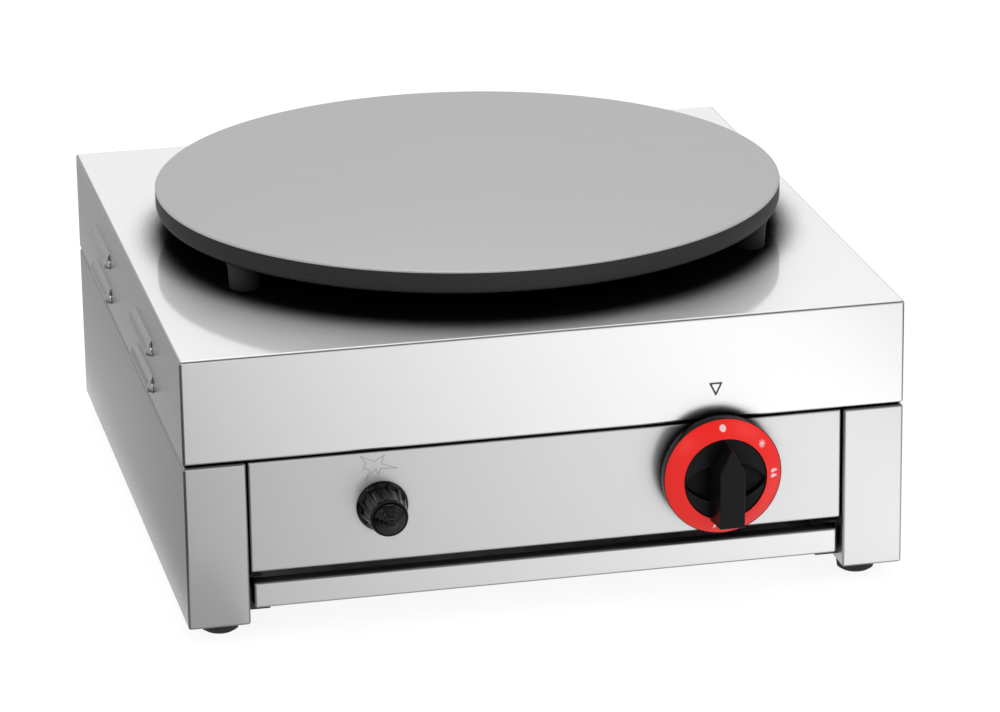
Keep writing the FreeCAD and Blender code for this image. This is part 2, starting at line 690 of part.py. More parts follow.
def burner():
    """Star burner: a hollow hub with eight radial arms, sawn flame slots and four screw lugs."""
    arm_top = ARM_Z + ARM_R
    hub = rod(HUB_R, (0, 0, HUB_Z0), (0, 0, arm_top + 1))
    solids, hollows = [hub], [rod(HUB_R - HUB_WALL, (0, 0, HUB_Z0 + HUB_WALL), (0, 0, arm_top - 1.2))]
    for i in range(ARM_COUNT):
        way = V(math.cos(2 * math.pi * i / ARM_COUNT), math.sin(2 * math.pi * i / ARM_COUNT), 0)
        start, end = way * (HUB_R * 0.8), way * ARM_REACH
        solids.append(rod(ARM_R, (start.x, start.y, ARM_Z), (end.x, end.y, ARM_Z)))
        end = way * (ARM_REACH - 3)
        hollows.append(rod(ARM_BORE, (start.x, start.y, ARM_Z), (end.x, end.y, ARM_Z)))
    solids.append(rod(MIX_R + 4, (0, 0, MIX_Z), (0, -HUB_R - 10, MIX_Z)))
    hollows.append(rod(MIX_R + RUN_FIT, (0, 0, MIX_Z), (0, -HUB_R - 11, MIX_Z)))
    for x in (-RAIL_Y, RAIL_Y):
        for y in (-RAIL_Y, RAIL_Y):
            solids.append(rod(LUG_R, (x, y, RAIL_TOP), (x, y, ARM_Z - ARM_R + 1)))
            hollows.append(rod(LUG_SCREW_R + RUN_FIT, (x, y, RAIL_TOP - 1), (x, y, RAIL_TOP + 12)))
    body = solids[0].fuse(solids[1:]).removeSplitter()
    first_slot = HUB_R + 9.0
    pitch = (ARM_REACH - 10.0 - first_slot) / (SLOTS_PER_ARM - 1)
    for i in range(ARM_COUNT):
        for j in range(SLOTS_PER_ARM):
            r = first_slot + j * pitch
            slot = box((r - SLOT_W / 2, r + SLOT_W / 2), (-ARM_R, ARM_R), (arm_top - SLOT_DEPTH, arm_top + 2))
            slot.rotate(V(0, 0, 0), V(0, 0, 1), 360.0 * i / ARM_COUNT)
            hollows.append(slot)
    return body.cut(hollows)


def burner_rail(y_mid):
    """Channel across the hood that carries the burner, resting on the hood's side lips."""
    y_span = (y_mid - RAIL_W / 2, y_mid + RAIL_W / 2)
    rail = box((-RAIL_END_X, RAIL_END_X), y_span, (LIP_TOP, RAIL_TOP))
    hollow = box((-BODY_W, BODY_W), (y_span[0] + RAIL_SHEET, y_span[1] - RAIL_SHEET),
                 (LIP_TOP - 1, RAIL_TOP - RAIL_SHEET))
    holes = [rod(LUG_SCREW_R + BOLT_FIT, (x, y_mid, RAIL_TOP - 3), (x, y_mid, RAIL_TOP + 1))
             for x in (-RAIL_Y, RAIL_Y)]
    return rail.cut([hollow] + holes)


def burner_screws():
    """Screws up through the rails into the burner's lugs."""
    screws = []
    under = RAIL_TOP - RAIL_SHEET
    for x in (-RAIL_Y, RAIL_Y):
        for y in (-RAIL_Y, RAIL_Y):
            head = hexagon(8.0, (x, y, under - 3.5), (x, y, under))
            screws.append(head.fuse(rod(LUG_SCREW_R, (x, y, under), (x, y, RAIL_TOP + 10))))
    return Part.makeCompound(screws)


def mixing_tube():
    """Venturi: windowed mouth, narrow throat and widening tube into the burner's hub."""
    length = MIX_END_Y - BELL_Y
    throat = BELL_L + 14.0
    outline = [(6.2, 0), (BELL_R, 0), (BELL_R, BELL_L), (THROAT_R + MIX_WALL, throat),
               (MIX_R, throat + 60), (MIX_R, length), (MIX_R - MIX_WALL, length),
               (MIX_R - MIX_WALL, throat + 60),
               (THROAT_R, throat), (BELL_R - MIX_WALL, BELL_L),
               (BELL_R - MIX_WALL, MIX_WALL), (6.2, MIX_WALL)]
    body = turned(outline, (0, BELL_Y, MIX_Z), Y_AXIS)
    return body.cut(windows(0.0))


def windows(turn):
    """Four air windows around the mouth of the mixing tube, turned about its axis."""
    cuts = []
    for i in range(2):
        bar = box((-2 * BELL_R, 2 * BELL_R), (BELL_Y + 3.5, BELL_Y + BELL_L - 2.5),
                  (MIX_Z - WINDOW_W / 2, MIX_Z + WINDOW_W / 2))
        bar.rotate(V(0, BELL_Y, MIX_Z), V(0, 1, 0), turn + 90.0 * i)
        cuts.append(bar)
    return cuts


def air_shutter():
    """Sleeve over the mixing tube's mouth that sets the air, with a clamping ear and screw."""
    start, end = (0, BELL_Y + 0.5, MIX_Z), (0, BELL_Y + BELL_L - 0.5, MIX_Z)
    inner = BELL_R + SHUTTER_GAP
    sleeve = rod(inner + SHEET, start, end)
    ear = box((-3.5, 3.5), (BELL_Y + 4, BELL_Y + 11), (MIX_Z + BELL_R, MIX_Z + BELL_R + 8))
    slit = box((-0.8, 0.8), (BELL_Y, BELL_Y + BELL_L), (MIX_Z + BELL_R - 1, MIX_Z + BELL_R + 9))
    pin_z, pin_y = MIX_Z + BELL_R + 5, BELL_Y + 7.5
    screw = rod(1.5, (-6, pin_y, pin_z), (6, pin_y, pin_z))
    screw = screw.fuse(rod(2.8, (-6, pin_y, pin_z), (-3.5, pin_y, pin_z)))
    body = sleeve.fuse(ear).cut(rod(inner, start, end)).cut([slit] + windows(22.0))
    return body.fuse(screw).removeSplitter()


def injector():
    """Brass injector: hexagon, thread and drilled nose pointing into the mixing tube."""
    face = BRACKET_Y + RAIL_SHEET
    hexa = hexagon(11.0, (0, face, MIX_Z), (0, face + 6, MIX_Z))
    nose = turned([(0, 0), (4.4, 0), (4.4, 4), (2.6, 9), (0, 9)], (0, face + 6, MIX_Z), Y_AXIS)
    thread = rod(4.4, (0, BRACKET_Y - 5, MIX_Z), (0, face, MIX_Z))
    bore = rod(1.6, (0, BRACKET_Y - 6, MIX_Z), (0, face + 12, MIX_Z))
    jet = rod(0.6, (0, face + 11, MIX_Z), (0, face + 16, MIX_Z))
    return hexa.fuse([nose, thread]).cut([bore, jet]).removeSplitter()


def injector_holder():
    """Brass elbow block between the feed pipe below and the injector behind."""
    block = box((-HOLDER_HALF, HOLDER_HALF), (HOLDER_Y - 8, BRACKET_Y), (HOLDER_Z0, MIX_Z + 9))
    block = block.makeFillet(1.2, block.Edges)
    cuts = [rod(4.4 + RUN_FIT, (0, BRACKET_Y - 5.2, MIX_Z), (0, BRACKET_Y + 1, MIX_Z)),
            rod(3.0, (0, HOLDER_Y - 1, MIX_Z), (0, BRACKET_Y - 5, MIX_Z)),
            rod(3.0, (0, HOLDER_Y, HOLDER_Z0 - 1), (0, HOLDER_Y, MIX_Z))]
    return block.cut(cuts)


def injector_bracket():
    """Angle on the hood's front lip that holds the injector in line with the mixing tube."""
    front_y = FRONT_Y + SHEET + 1.0
    foot = box((-16, 16), (front_y, BRACKET_Y + RAIL_SHEET), (LIP_TOP, LIP_TOP + RAIL_SHEET))
    upright = box((-16, 16), (BRACKET_Y, BRACKET_Y + RAIL_SHEET), (LIP_TOP, MIX_Z + 15))
    cuts = [rod(4.4 + BOLT_FIT, (0, BRACKET_Y - 1, MIX_Z), (0, BRACKET_Y + 3, MIX_Z)),
            rod(FEED_R + 6.5, (0, HOLDER_Y, LIP_TOP - 1), (0, HOLDER_Y, LIP_TOP + 3))]
    return foot.fuse(upright).cut(cuts).removeSplitter()


# Gas inlet and pipes


def inlet_nipple():
    """Threaded gas inlet through the rear panel, with a hexagon outside."""
    face = REAR_INNER_Y
    body = rod(THREAD_R, (INLET_X, PIPE_Y1, KNOB_Z), (INLET_X, face, KNOB_Z))
    hexa = hexagon(NUT_AF, (INLET_X, face, KNOB_Z), (INLET_X, face + 11, KNOB_Z))
    end_y = HALF_D + INLET_REACH
    neck = rod(THREAD_R - 1.4, (INLET_X, face + 11, KNOB_Z), (INLET_X, end_y - THREAD_L, KNOB_Z))
    thread = rod(THREAD_R, (INLET_X, end_y - THREAD_L, KNOB_Z), (INLET_X, end_y, KNOB_Z))
    bore = rod(INLET_BORE, (INLET_X, PIPE_Y1 + 8, KNOB_Z), (INLET_X, end_y + 1, KNOB_Z))
    seat = rod(PIPE_R - PIPE_WALL, (INLET_X, PIPE_Y1 - 1, KNOB_Z), (INLET_X, PIPE_Y1 + 9, KNOB_Z))
    return body.fuse([hexa, neck, thread]).cut([bore, seat]).removeSplitter()


def inlet_locknut():
    """Nut that clamps the inlet to the rear panel from inside."""
    face = REAR_INNER_Y - SHEET
    nut = hexagon(NUT_AF, (INLET_X, face - 7, KNOB_Z), (INLET_X, face, KNOB_Z))
    return nut.cut(rod(THREAD_R + RUN_FIT, (INLET_X, face - 8, KNOB_Z), (INLET_X, face + 1, KNOB_Z)))


def gas_inlet_pipe():
    """Supply pipe from the inlet along the right side to the tap."""
    points = [(INLET_X, PIPE_Y1, KNOB_Z), (INLET_X, PORT_Y, KNOB_Z), (KNOB_X + PORT_REACH, PORT_Y, KNOB_Z)]
    return bent_pipe(points, PIPE_R, 18.0, PIPE_R - PIPE_WALL)


def burner_feed_pipe():
    """Pipe from the tap across and up to the injector holder."""
    points = [(KNOB_X - PORT_REACH, PORT_Y, KNOB_Z), (40.0, PORT_Y, KNOB_Z), (0.0, HOLDER_Y, KNOB_Z + 12),
              (0.0, HOLDER_Y, HOLDER_Z0)]
    return bent_pipe(points, FEED_R, 12.0, FEED_R - PIPE_WALL)


def pipe_nuts():
    """Compression nuts at the ends of the two pipes."""
    ends = [((INLET_X, PIPE_Y1, KNOB_Z), (0, -1, 0), PIPE_R),
            ((KNOB_X + PORT_REACH, PORT_Y, KNOB_Z), (1, 0, 0), PIPE_R),
            ((KNOB_X - PORT_REACH, PORT_Y, KNOB_Z), (-1, 0, 0), FEED_R),
            ((0.0, HOLDER_Y, HOLDER_Z0), (0, 0, -1), FEED_R)]
    nuts = []
    for seat, way, pipe_r in ends:
        back = tuple(seat[i] + way[i] * 9.0 for i in range(3))
        nut = hexagon(NUT_PER_PIPE * pipe_r, seat, back)
        nuts.append(nut.cut(rod(pipe_r + RUN_FIT, seat, back)))
    return Part.makeCompound(nuts)


# Gas tap and knob

def tap_screw_point(side):
    """Where a tap screw enters the control panel's face."""
    return (KNOB_X + side * 19.0, PANEL_Y, KNOB_Z)


def gas_tap_body():
    """Brass tap: flange on the panel, bonnet, block with two ports and a bored middle."""
    flange = box((KNOB_X - 25, KNOB_X + 25), (PANEL_BACK_Y, PANEL_BACK_Y + 4), (KNOB_Z - 8, KNOB_Z + 8))
    bonnet = rod(TAP_R - 2, (KNOB_X, BONNET_Y, KNOB_Z), (KNOB_X, PANEL_BACK_Y, KNOB_Z))
    neck = rod(TAP_R, (KNOB_X, PANEL_BACK_Y, KNOB_Z), (KNOB_X, TAP_Y, KNOB_Z))
    block = box((KNOB_X - TAP_BLOCK, KNOB_X + TAP_BLOCK), (TAP_Y, TAP_BACK_Y),
                (KNOB_Z - TAP_BLOCK, KNOB_Z + TAP_BLOCK))
    block = block.makeFillet(2.0, block.Edges)
    ports = rod(8.0, (KNOB_X - PORT_REACH, PORT_Y, KNOB_Z), (KNOB_X + PORT_REACH, PORT_Y, KNOB_Z))
    bore_end = TAP_Y + 12
    cuts = [rod(SPINDLE_R + RUN_FIT, (KNOB_X, BONNET_Y - 1, KNOB_Z), (KNOB_X, bore_end, KNOB_Z)),
            rod(PUSH_ROD_R + RUN_FIT, (KNOB_X, bore_end - 1, KNOB_Z), (KNOB_X, TAP_BACK_Y + 1, KNOB_Z)),
            rod(3.5, (KNOB_X - PORT_REACH - 1, PORT_Y, KNOB_Z), (KNOB_X - PORT_REACH + 10, PORT_Y, KNOB_Z)),
            rod(3.5, (KNOB_X + PORT_REACH - 10, PORT_Y, KNOB_Z), (KNOB_X + PORT_REACH + 1, PORT_Y, KNOB_Z))]
    for side in (-1, 1):
        point = tap_screw_point(side)
        cuts.append(rod(SMALL_SCREW_R + RUN_FIT, point, shifted(point, dy=9)))
    return flange.fuse([bonnet, neck, block, ports]).cut(cuts).removeSplitter()


def tap_screws():
    """Two screws that hold the tap to the control panel, under the dial."""
    screws = []
    for side in (-1, 1):
        point = tap_screw_point(side)
        head = turned([(0, 0), (3.4, 0), (3.4, 0.8), (2.2, 1.8), (0, 1.8)], point, (0, -1, 0))
        screws.append(head.fuse(rod(SMALL_SCREW_R, point, shifted(point, dy=5))))
    return Part.makeCompound(screws)


def tap_magnet_unit():
    """Flame-safety magnet housing screwed on the back of the tap."""
    start, end = (KNOB_X, TAP_BACK_Y, KNOB_Z), (KNOB_X, TAP_BACK_Y + MAGNET_L, KNOB_Z)
    body = rod(9.0, start, end).fuse(hexagon(20.0, start, shifted(start, dy=8)))
    nut = hexagon(9.0, end, shifted(end, dy=7))
    bore = rod(PUSH_ROD_R + RUN_FIT, start, shifted(start, dy=MAGNET_L - 8))
    return body.fuse(nut).cut(bore).removeSplitter()


def tap_push_rod():
    """Rod behind the spindle that presses the safety magnet when the knob is pushed."""
    return rod(PUSH_ROD_R, (KNOB_X, SPINDLE_BACK_Y + AIR, KNOB_Z), (KNOB_X, TAP_BACK_Y + 6, KNOB_Z))


def spindle_flat_cut(y_front, y_back, radius, flat):
    """The piece missing from a D-shaped shaft or bore."""
    return box((KNOB_X - 2 * radius, KNOB_X + 2 * radius), (y_front, y_back),
               (KNOB_Z + flat, KNOB_Z + 3 * radius))


def tap_spindle():
    """Spindle with a flat at its front end for the knob."""
    shaft = rod(SPINDLE_R, (KNOB_X, SPINDLE_FRONT_Y, KNOB_Z), (KNOB_X, SPINDLE_BACK_Y, KNOB_Z))
    return shaft.cut(spindle_flat_cut(SPINDLE_FRONT_Y - 1, SPINDLE_FRONT_Y + 13, SPINDLE_R, SPINDLE_FLAT))


def knob_grip():
    """Black moulded knob: hollow skirt, dished hub with finger scoops and a pointed grip bar."""
    depth = KNOB_BACK_Y - HUB_FACE_Y
    seat = KNOB_BACK_Y - DIAL_EDGE_Y
    seat_front = KNOB_BACK_Y - DIAL_FRONT_Y
    slope = DIAL_T * 0.95
    outline = [(CLIP_R - 1.6, 0.5), (CLIP_R, 0.5), (CLIP_R, depth - SCOOP_DEPTH - KNOB_WALL),
               (DIAL_INNER_R - 3, depth - SCOOP_DEPTH - KNOB_WALL), (SKIRT_R - KNOB_WALL, seat - KNOB_WALL),
               (SKIRT_R - KNOB_WALL, 0), (SKIRT_R, 0), (SKIRT_R, seat), (DIAL_R, seat),
               (DIAL_R, seat - slope),
               (DIAL_INNER_R, seat_front - slope), (DIAL_INNER_R, seat_front),
               ((DIAL_INNER_R - 0.5, seat_front + 0.4), (DIAL_INNER_R - 1.2, depth)), (0, depth + 0.6),
               (0, 0.5)]
    body = turned(outline, (KNOB_X, KNOB_BACK_Y, KNOB_Z), (0, -1, 0))
    scoop_floor = HUB_FACE_Y + SCOOP_DEPTH
    scoop = rod(SCOOP_R, (KNOB_X, scoop_floor, KNOB_Z - 2 - SCOOP_OFFSET),
                (KNOB_X, DIAL_FRONT_Y - 3, KNOB_Z - 2 - SCOOP_OFFSET))
    scoop = scoop.common(rod(SCOOP_R, (KNOB_X, scoop_floor, KNOB_Z - 2 + SCOOP_OFFSET),
                             (KNOB_X, DIAL_FRONT_Y - 3, KNOB_Z - 2 + SCOOP_OFFSET)))
    scoop = scoop.common(rod(DIAL_INNER_R - 1.2, (KNOB_X, scoop_floor, KNOB_Z),
                             (KNOB_X, DIAL_FRONT_Y - 3, KNOB_Z)))
    bore_r = SPINDLE_R + SHAFT_FIT
    bore = rod(bore_r, (KNOB_X, KNOB_BACK_Y + 1, KNOB_Z), (KNOB_X, SPINDLE_FRONT_Y - 0.5, KNOB_Z))
    flat = spindle_flat_cut(SPINDLE_FRONT_Y - 2, KNOB_BACK_Y - 2, bore_r, SPINDLE_FLAT + SHAFT_FIT)
    return body.cut(scoop).fuse(grip_bar()).cut(bore.cut(flat)).removeSplitter()


def grip_outline(half_width, shoulder, tip, y):
    """The grip's five-cornered outline at a depth: square below, pointed above."""
    points = [(-half_width, -GRIP_LOW), (half_width, -GRIP_LOW), (half_width, shoulder), (0, tip),
              (-half_width, shoulder)]
    return Part.makePolygon([V(KNOB_X + x, y, KNOB_Z + z) for x, z in points + points[:1]])


def grip_bar():
    """The grip: it widens towards the hub by its draft, and its lower front slopes back."""
    base_y = HUB_FACE_Y + SCOOP_DEPTH + 1.0
    wide = GRIP_W / 2 + GRIP_DRAFT
    bar = Part.makeLoft([grip_outline(wide, GRIP_SHOULDER - GRIP_DRAFT, GRIP_TIP - GRIP_DRAFT, base_y),
                         grip_outline(GRIP_W / 2, GRIP_SHOULDER, GRIP_TIP, GRIP_Y)], True, True)
    wedge = [(GRIP_Y - 1, GRIP_BEND), (GRIP_Y, GRIP_BEND), (GRIP_Y + GRIP_SLOPE, -GRIP_LOW - 1),
             (GRIP_Y - 1, -GRIP_LOW - 1)]
    wedge = [V(KNOB_X - GRIP_W, y, KNOB_Z + z) for y, z in wedge + wedge[:1]]
    return bar.cut(Part.Face(Part.makePolygon(wedge)).extrude(V(2 * GRIP_W, 0, 0)))


def knob_dial():
    """Red conical ring let into the knob around the hub, with a notch for the grip's lower end."""
    seat = KNOB_BACK_Y - DIAL_EDGE_Y
    seat_front = KNOB_BACK_Y - DIAL_FRONT_Y
    slope = DIAL_T * 0.95
    outer, inner = DIAL_R - RUN_FIT, DIAL_INNER_R + RUN_FIT
    lift = RUN_FIT * DIAL_RISE / (DIAL_R - DIAL_INNER_R)
    outline = [(outer, seat - slope + lift), (outer, seat), (inner, seat_front), (inner, seat_front - slope)]
    ring = turned(outline, (KNOB_X, KNOB_BACK_Y, KNOB_Z), (0, -1, 0))
    return ring.cut(grip_bar()).removeSplitter()


def knob_clip():
    """Split spring ring round the knob's boss, which grips the spindle."""
    ring = tube(CLIP_R + 0.9, CLIP_R + RUN_FIT, (KNOB_X, KNOB_BACK_Y - 4, KNOB_Z),
                (KNOB_X, KNOB_BACK_Y - 1, KNOB_Z))
    return ring.cut(box((KNOB_X - 1.5, KNOB_X + 1.5), (KNOB_BACK_Y - 5, KNOB_BACK_Y), (KNOB_Z - 12, KNOB_Z)))


# Igniter


def igniter_body():
    """Piezo housing: threaded barrel through the panel, shoulder behind it and a rear terminal."""
    def at(y):
        return (IGNITER_X, y, IGNITER_Z)

    shoulder_y = PANEL_BACK_Y + SHOULDER_T
    barrel_y = shoulder_y + BARREL_L * THICK_BARREL_SHARE
    rear_y = PANEL_BACK_Y + BARREL_L
    shoulder = tube(SHOULDER_R, STEM_R + SHAFT_FIT, at(PANEL_BACK_Y), at(shoulder_y))
    barrel = rod(BARREL_R, at(PANEL_Y - NUT_THREAD_L + 1.5), at(barrel_y))
    rear = rod(BARREL_R - 2, at(barrel_y), at(rear_y))
    terminal = rod(TERMINAL_R, at(rear_y), at(rear_y + TERMINAL_L))
    bore = rod(STEM_R + SHAFT_FIT, at(PANEL_Y - 12), at(PANEL_Y + STEM_BACK_OUT + IGNITER_PUSH + 2))
    return shoulder.fuse([barrel, rear, terminal]).cut(bore).removeSplitter()


def igniter_nut():
    """Front nut with a thin flange and castellated ridges up to its rim."""
    rim, rim_r, inner_r = IGNITER_RIM_OUT, IGNITER_RIM_R, BUTTON_R + AIR
    thread_r = BARREL_R + RUN_FIT
    outline = [(thread_r, 0), (IGNITER_FLANGE_R, 0), (IGNITER_FLANGE_R, 1.0), (IGNITER_FLANGE_R - 0.8, 1.6),
               (NUT_ROOT_R, 2.2), (NUT_WAIST_R, rim - 4.5), (NUT_WAIST_R + 0.2, rim - 2.4),
               (rim_r, rim - 1.4),
               (rim_r - 0.4, rim), (inner_r, rim), (inner_r, NUT_THREAD_L), (thread_r, NUT_THREAD_L)]
    body = turned(outline, (IGNITER_X, PANEL_Y, IGNITER_Z), (0, -1, 0))
    root = thread_r + 0.3
    ridge_profile = [(root, 2.0), (RIDGE_R, 2.0), (RIDGE_R - 0.6, 3.4), (rim_r, rim - 3.0), (root, rim - 3.0)]
    ridges = []
    for i in range(RIDGES):
        points = [V(r, -RIDGE_W / 2, h) for r, h in ridge_profile + ridge_profile[:1]]
        ridge = Part.Face(Part.makePolygon(points)).extrude(V(0, RIDGE_W, 0))
        ridge.rotate(V(0, 0, 0), V(0, 0, 1), 360.0 * i / RIDGES)
        to_front = FreeCAD.Placement(V(IGNITER_X, PANEL_Y, IGNITER_Z),
                                     FreeCAD.Rotation(V(0, 0, 1), V(0, -1, 0)))
        ridge.Placement = to_front.multiply(ridge.Placement)
        ridges.append(ridge)
    return body.fuse(ridges).removeSplitter()


def igniter_button():
    """Stepped dome button with a stem into the piezo housing."""
    rim, tip = IGNITER_RIM_OUT, IGNITER_TIP_OUT
    skirt = NUT_THREAD_L + IGNITER_PUSH + 0.5
    outline = [(0, -STEM_BACK_OUT), (STEM_R, -STEM_BACK_OUT), (STEM_R, skirt), (BUTTON_R, skirt),
               (BUTTON_R, rim + 1.0)]
    outline += [(radius, rim + rise) for radius, rise in DOME_STEPS]
    outline += [(1.4, tip), (0, tip)]
    return turned(outline, (IGNITER_X, PANEL_Y, IGNITER_Z), (0, -1, 0))


# Flame sensing and ignition at the burner


def sensor_bracket():
    """Angle on the front rail that carries the electrode and the thermocouple."""
    rail_face = -RAIL_Y - RAIL_W / 2
    upright = box((PROBE_X - 8, ELECTRODE_X + 8), (rail_face - SHEET, rail_face),
                  (LIP_TOP + 2, SENSOR_Z + SHEET))
    ledge = box((PROBE_X - 8, ELECTRODE_X + 8), (SENSOR_Y - 7, rail_face), (SENSOR_Z, SENSOR_Z + SHEET))
    holes = [rod(CERAMIC_R + RUN_FIT, (x, SENSOR_Y, SENSOR_Z - 1), (x, SENSOR_Y, SENSOR_Z + 3))
             for x in (ELECTRODE_X, PROBE_X)]
    return upright.fuse(ledge).cut(holes).removeSplitter()


def ignition_electrode():
    """Ceramic insulator with a collar that seats on the sensor bracket."""
    low = SENSOR_Z - 14
    outline = [(1.3, 0), (CERAMIC_R, 0), (CERAMIC_R, SENSOR_Z + SHEET - low), (4.4, SENSOR_Z + SHEET - low),
               (4.4, SENSOR_Z + 5 - low), (CERAMIC_R, SENSOR_Z + 6 - low), (CERAMIC_R, TIP_Z - 12 - low),
               (1.3, TIP_Z - 12 - low)]
    return turned(outline, (ELECTRODE_X, SENSOR_Y, low), Z_AXIS)


def electrode_rod():
    """Spark rod through the ceramic, bent over the burner's front arm."""
    points = [(ELECTRODE_X, SENSOR_Y, SENSOR_Z - 18), (ELECTRODE_X, SENSOR_Y, TIP_Z),
              (-ARM_R - 2, SENSOR_Y + 6, TIP_Z)]
    return bent_pipe(points, 1.25, 4.0)


def thermocouple():
    """Flame probe in the bracket and its thin lead to the tap's magnet."""
    probe = turned([(0, 0), (CERAMIC_R, 0), (CERAMIC_R, 42), (2.2, 47), (1.0, 49), (0, 49)],
                   (PROBE_X, SENSOR_Y, SENSOR_Z - 6), Z_AXIS)
    nut = hexagon(9.0, (PROBE_X, SENSOR_Y, SENSOR_Z + SHEET), (PROBE_X, SENSOR_Y, SENSOR_Z + SHEET + 5))
    end_y = TAP_BACK_Y + MAGNET_L + 7
    loop_y = end_y + LEAD_LOOP
    points = [(PROBE_X, SENSOR_Y, SENSOR_Z - 5), (PROBE_X, SENSOR_Y, KNOB_Z + 8),
              (-20.0, loop_y - 14, KNOB_Z + 4),
              (50.0, loop_y - 8, KNOB_Z + 2), (KNOB_X, loop_y, KNOB_Z), (KNOB_X, end_y, KNOB_Z)]
    lead = bent_pipe(points, 1.2, 9.0)
    return probe.fuse([nut, lead]).removeSplitter()


def ignition_lead():
    """Insulated lead from the piezo's terminal up to the electrode."""
    start_y = PANEL_BACK_Y + BARREL_L + TERMINAL_L
    middle = ((IGNITER_X + ELECTRODE_X) / 2 + 8, SENSOR_Y - 23, IGNITER_Z - 12)
    points = [(IGNITER_X, start_y, IGNITER_Z), (IGNITER_X, start_y + 30, IGNITER_Z), middle,
              (ELECTRODE_X, SENSOR_Y, IGNITER_Z - 2), (ELECTRODE_X, SENSOR_Y, SENSOR_Z - 18)]
    return bent_pipe(points, 2.2, 11.0)


def heat_shield():
    """Sheet above the tap, on the hood's front lip, with a turned-down back edge."""
    front_y = FRONT_Y + SHEET + 1.0
    top = box(SHIELD_X, (front_y, SHIELD_BACK_Y), (LIP_TOP, LIP_TOP + SHEET))
    lip = box(SHIELD_X, (SHIELD_BACK_Y - SHEET, SHIELD_BACK_Y), (LIP_TOP - 10, LIP_TOP + SHEET))
    return top.fuse(lip).removeSplitter()


def build_parts():
    """Every sub-part by its name."""
    left_side, left_runner, left_glide = side_panel_left(), tray_runner_left(), tray_glide_left()
    return {
        "hood": hood(), "hood_screws": hood_screws(), "hood_nuts": hood_nuts(),
        "hood_spacers": hood_spacers(),
        "side_panel_left": left_side, "side_panel_right": mirrored(left_side),
        "rear_panel": rear_panel(), "rear_panel_screws": rear_panel_screws(),
        "control_panel": control_panel(), "panel_screws": panel_screws(), "panel_spacers": panel_spacers(),
        "feet": feet(), "foot_screws": foot_screws(),
        "tray_runner_left": left_runner, "tray_runner_right": mirrored(left_runner),
        "tray_glide_left": left_glide, "tray_glide_right": mirrored(left_glide),
        "runner_rivets": runner_rivets(), "tray_pan": tray_pan(), "tray_front": tray_front(),
        "cooking_plate": cooking_plate(), "plate_bolts": plate_bolts(), "plate_washers": plate_washers(),
        "burner": burner(),
        "burner_rail_front": burner_rail(-RAIL_Y),
        "burner_rail_rear": burner_rail(RAIL_Y),
        "burner_screws": burner_screws(), "mixing_tube": mixing_tube(), "air_shutter": air_shutter(),
        "injector": injector(), "injector_holder": injector_holder(), "injector_bracket": injector_bracket(),
        "inlet_nipple": inlet_nipple(), "inlet_locknut": inlet_locknut(), "gas_inlet_pipe": gas_inlet_pipe(),
        "burner_feed_pipe": burner_feed_pipe(), "pipe_nuts": pipe_nuts(),
        "gas_tap_body": gas_tap_body(), "tap_screws": tap_screws(), "tap_magnet_unit": tap_magnet_unit(),
        "tap_push_rod": tap_push_rod(), "tap_spindle": tap_spindle(),
        "knob_grip": knob_grip(), "knob_dial": knob_dial(), "knob_clip": knob_clip(),
        "igniter_body": igniter_body(), "igniter_nut": igniter_nut(), "igniter_button": igniter_button(),
        "sensor_bracket": sensor_bracket(), "ignition_electrode": ignition_electrode(),
        "electrode_rod": electrode_rod(), "thermocouple": thermocouple(), "ignition_lead": ignition_lead(),
        "heat_shield": heat_shield(),
    }


def main():
    """Write one STEP file per sub-part."""
    os.makedirs("parts", exist_ok=True)
    for name, shape in build_parts().items():
        shape.exportStep(f"parts/{name}.step")
        bounds = shape.BoundBox
        print(f"{name:20s} solids {len(shape.Solids):2d} faces {len(shape.Faces):4d} valid {shape.isValid()} "
              f"x {bounds.XMin:7.1f} {bounds.XMax:7.1f} y {bounds.YMin:7.1f} {bounds.YMax:7.1f} "
              f"z {bounds.ZMin:6.1f} {bounds.ZMax:6.1f}")


if __name__ == "__main__":
    main()
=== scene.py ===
"""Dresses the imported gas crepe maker: cast plate, stainless cabinet, tap knob, igniter, tray and gas inlet.

Everything is in metres, in the part's own frame: the origin is on the counter under the cabinet's middle,
+X points to the viewer's right, +Y to the back and +Z up.
"""
from __future__ import annotations

import enum
import json
import logging
import math
from dataclasses import dataclass

import bmesh
import bpy
import numpy as np
from mathutils import Matrix, Vector

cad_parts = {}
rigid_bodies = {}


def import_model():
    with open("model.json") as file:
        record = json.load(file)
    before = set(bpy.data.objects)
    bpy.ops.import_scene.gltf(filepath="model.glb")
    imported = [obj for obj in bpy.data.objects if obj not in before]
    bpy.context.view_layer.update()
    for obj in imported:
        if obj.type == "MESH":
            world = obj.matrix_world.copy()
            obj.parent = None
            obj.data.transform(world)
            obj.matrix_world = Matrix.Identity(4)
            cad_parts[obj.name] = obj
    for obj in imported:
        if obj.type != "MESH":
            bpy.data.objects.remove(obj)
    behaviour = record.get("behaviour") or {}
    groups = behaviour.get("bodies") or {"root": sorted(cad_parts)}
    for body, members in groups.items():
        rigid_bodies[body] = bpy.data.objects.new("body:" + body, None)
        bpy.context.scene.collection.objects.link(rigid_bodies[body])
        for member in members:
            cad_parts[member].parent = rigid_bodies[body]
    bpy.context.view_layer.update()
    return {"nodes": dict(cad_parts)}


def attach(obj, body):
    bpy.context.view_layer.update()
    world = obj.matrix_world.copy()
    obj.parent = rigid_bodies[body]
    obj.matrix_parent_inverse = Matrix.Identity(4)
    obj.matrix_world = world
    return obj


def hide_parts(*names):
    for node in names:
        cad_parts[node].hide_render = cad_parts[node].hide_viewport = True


LOG = logging.getLogger("crepe_maker")
FULL_TURN = 2.0 * math.pi
WELD = 1e-6
THIN_EDGE = 1e-7
LARGEST_BLEND = 0.45

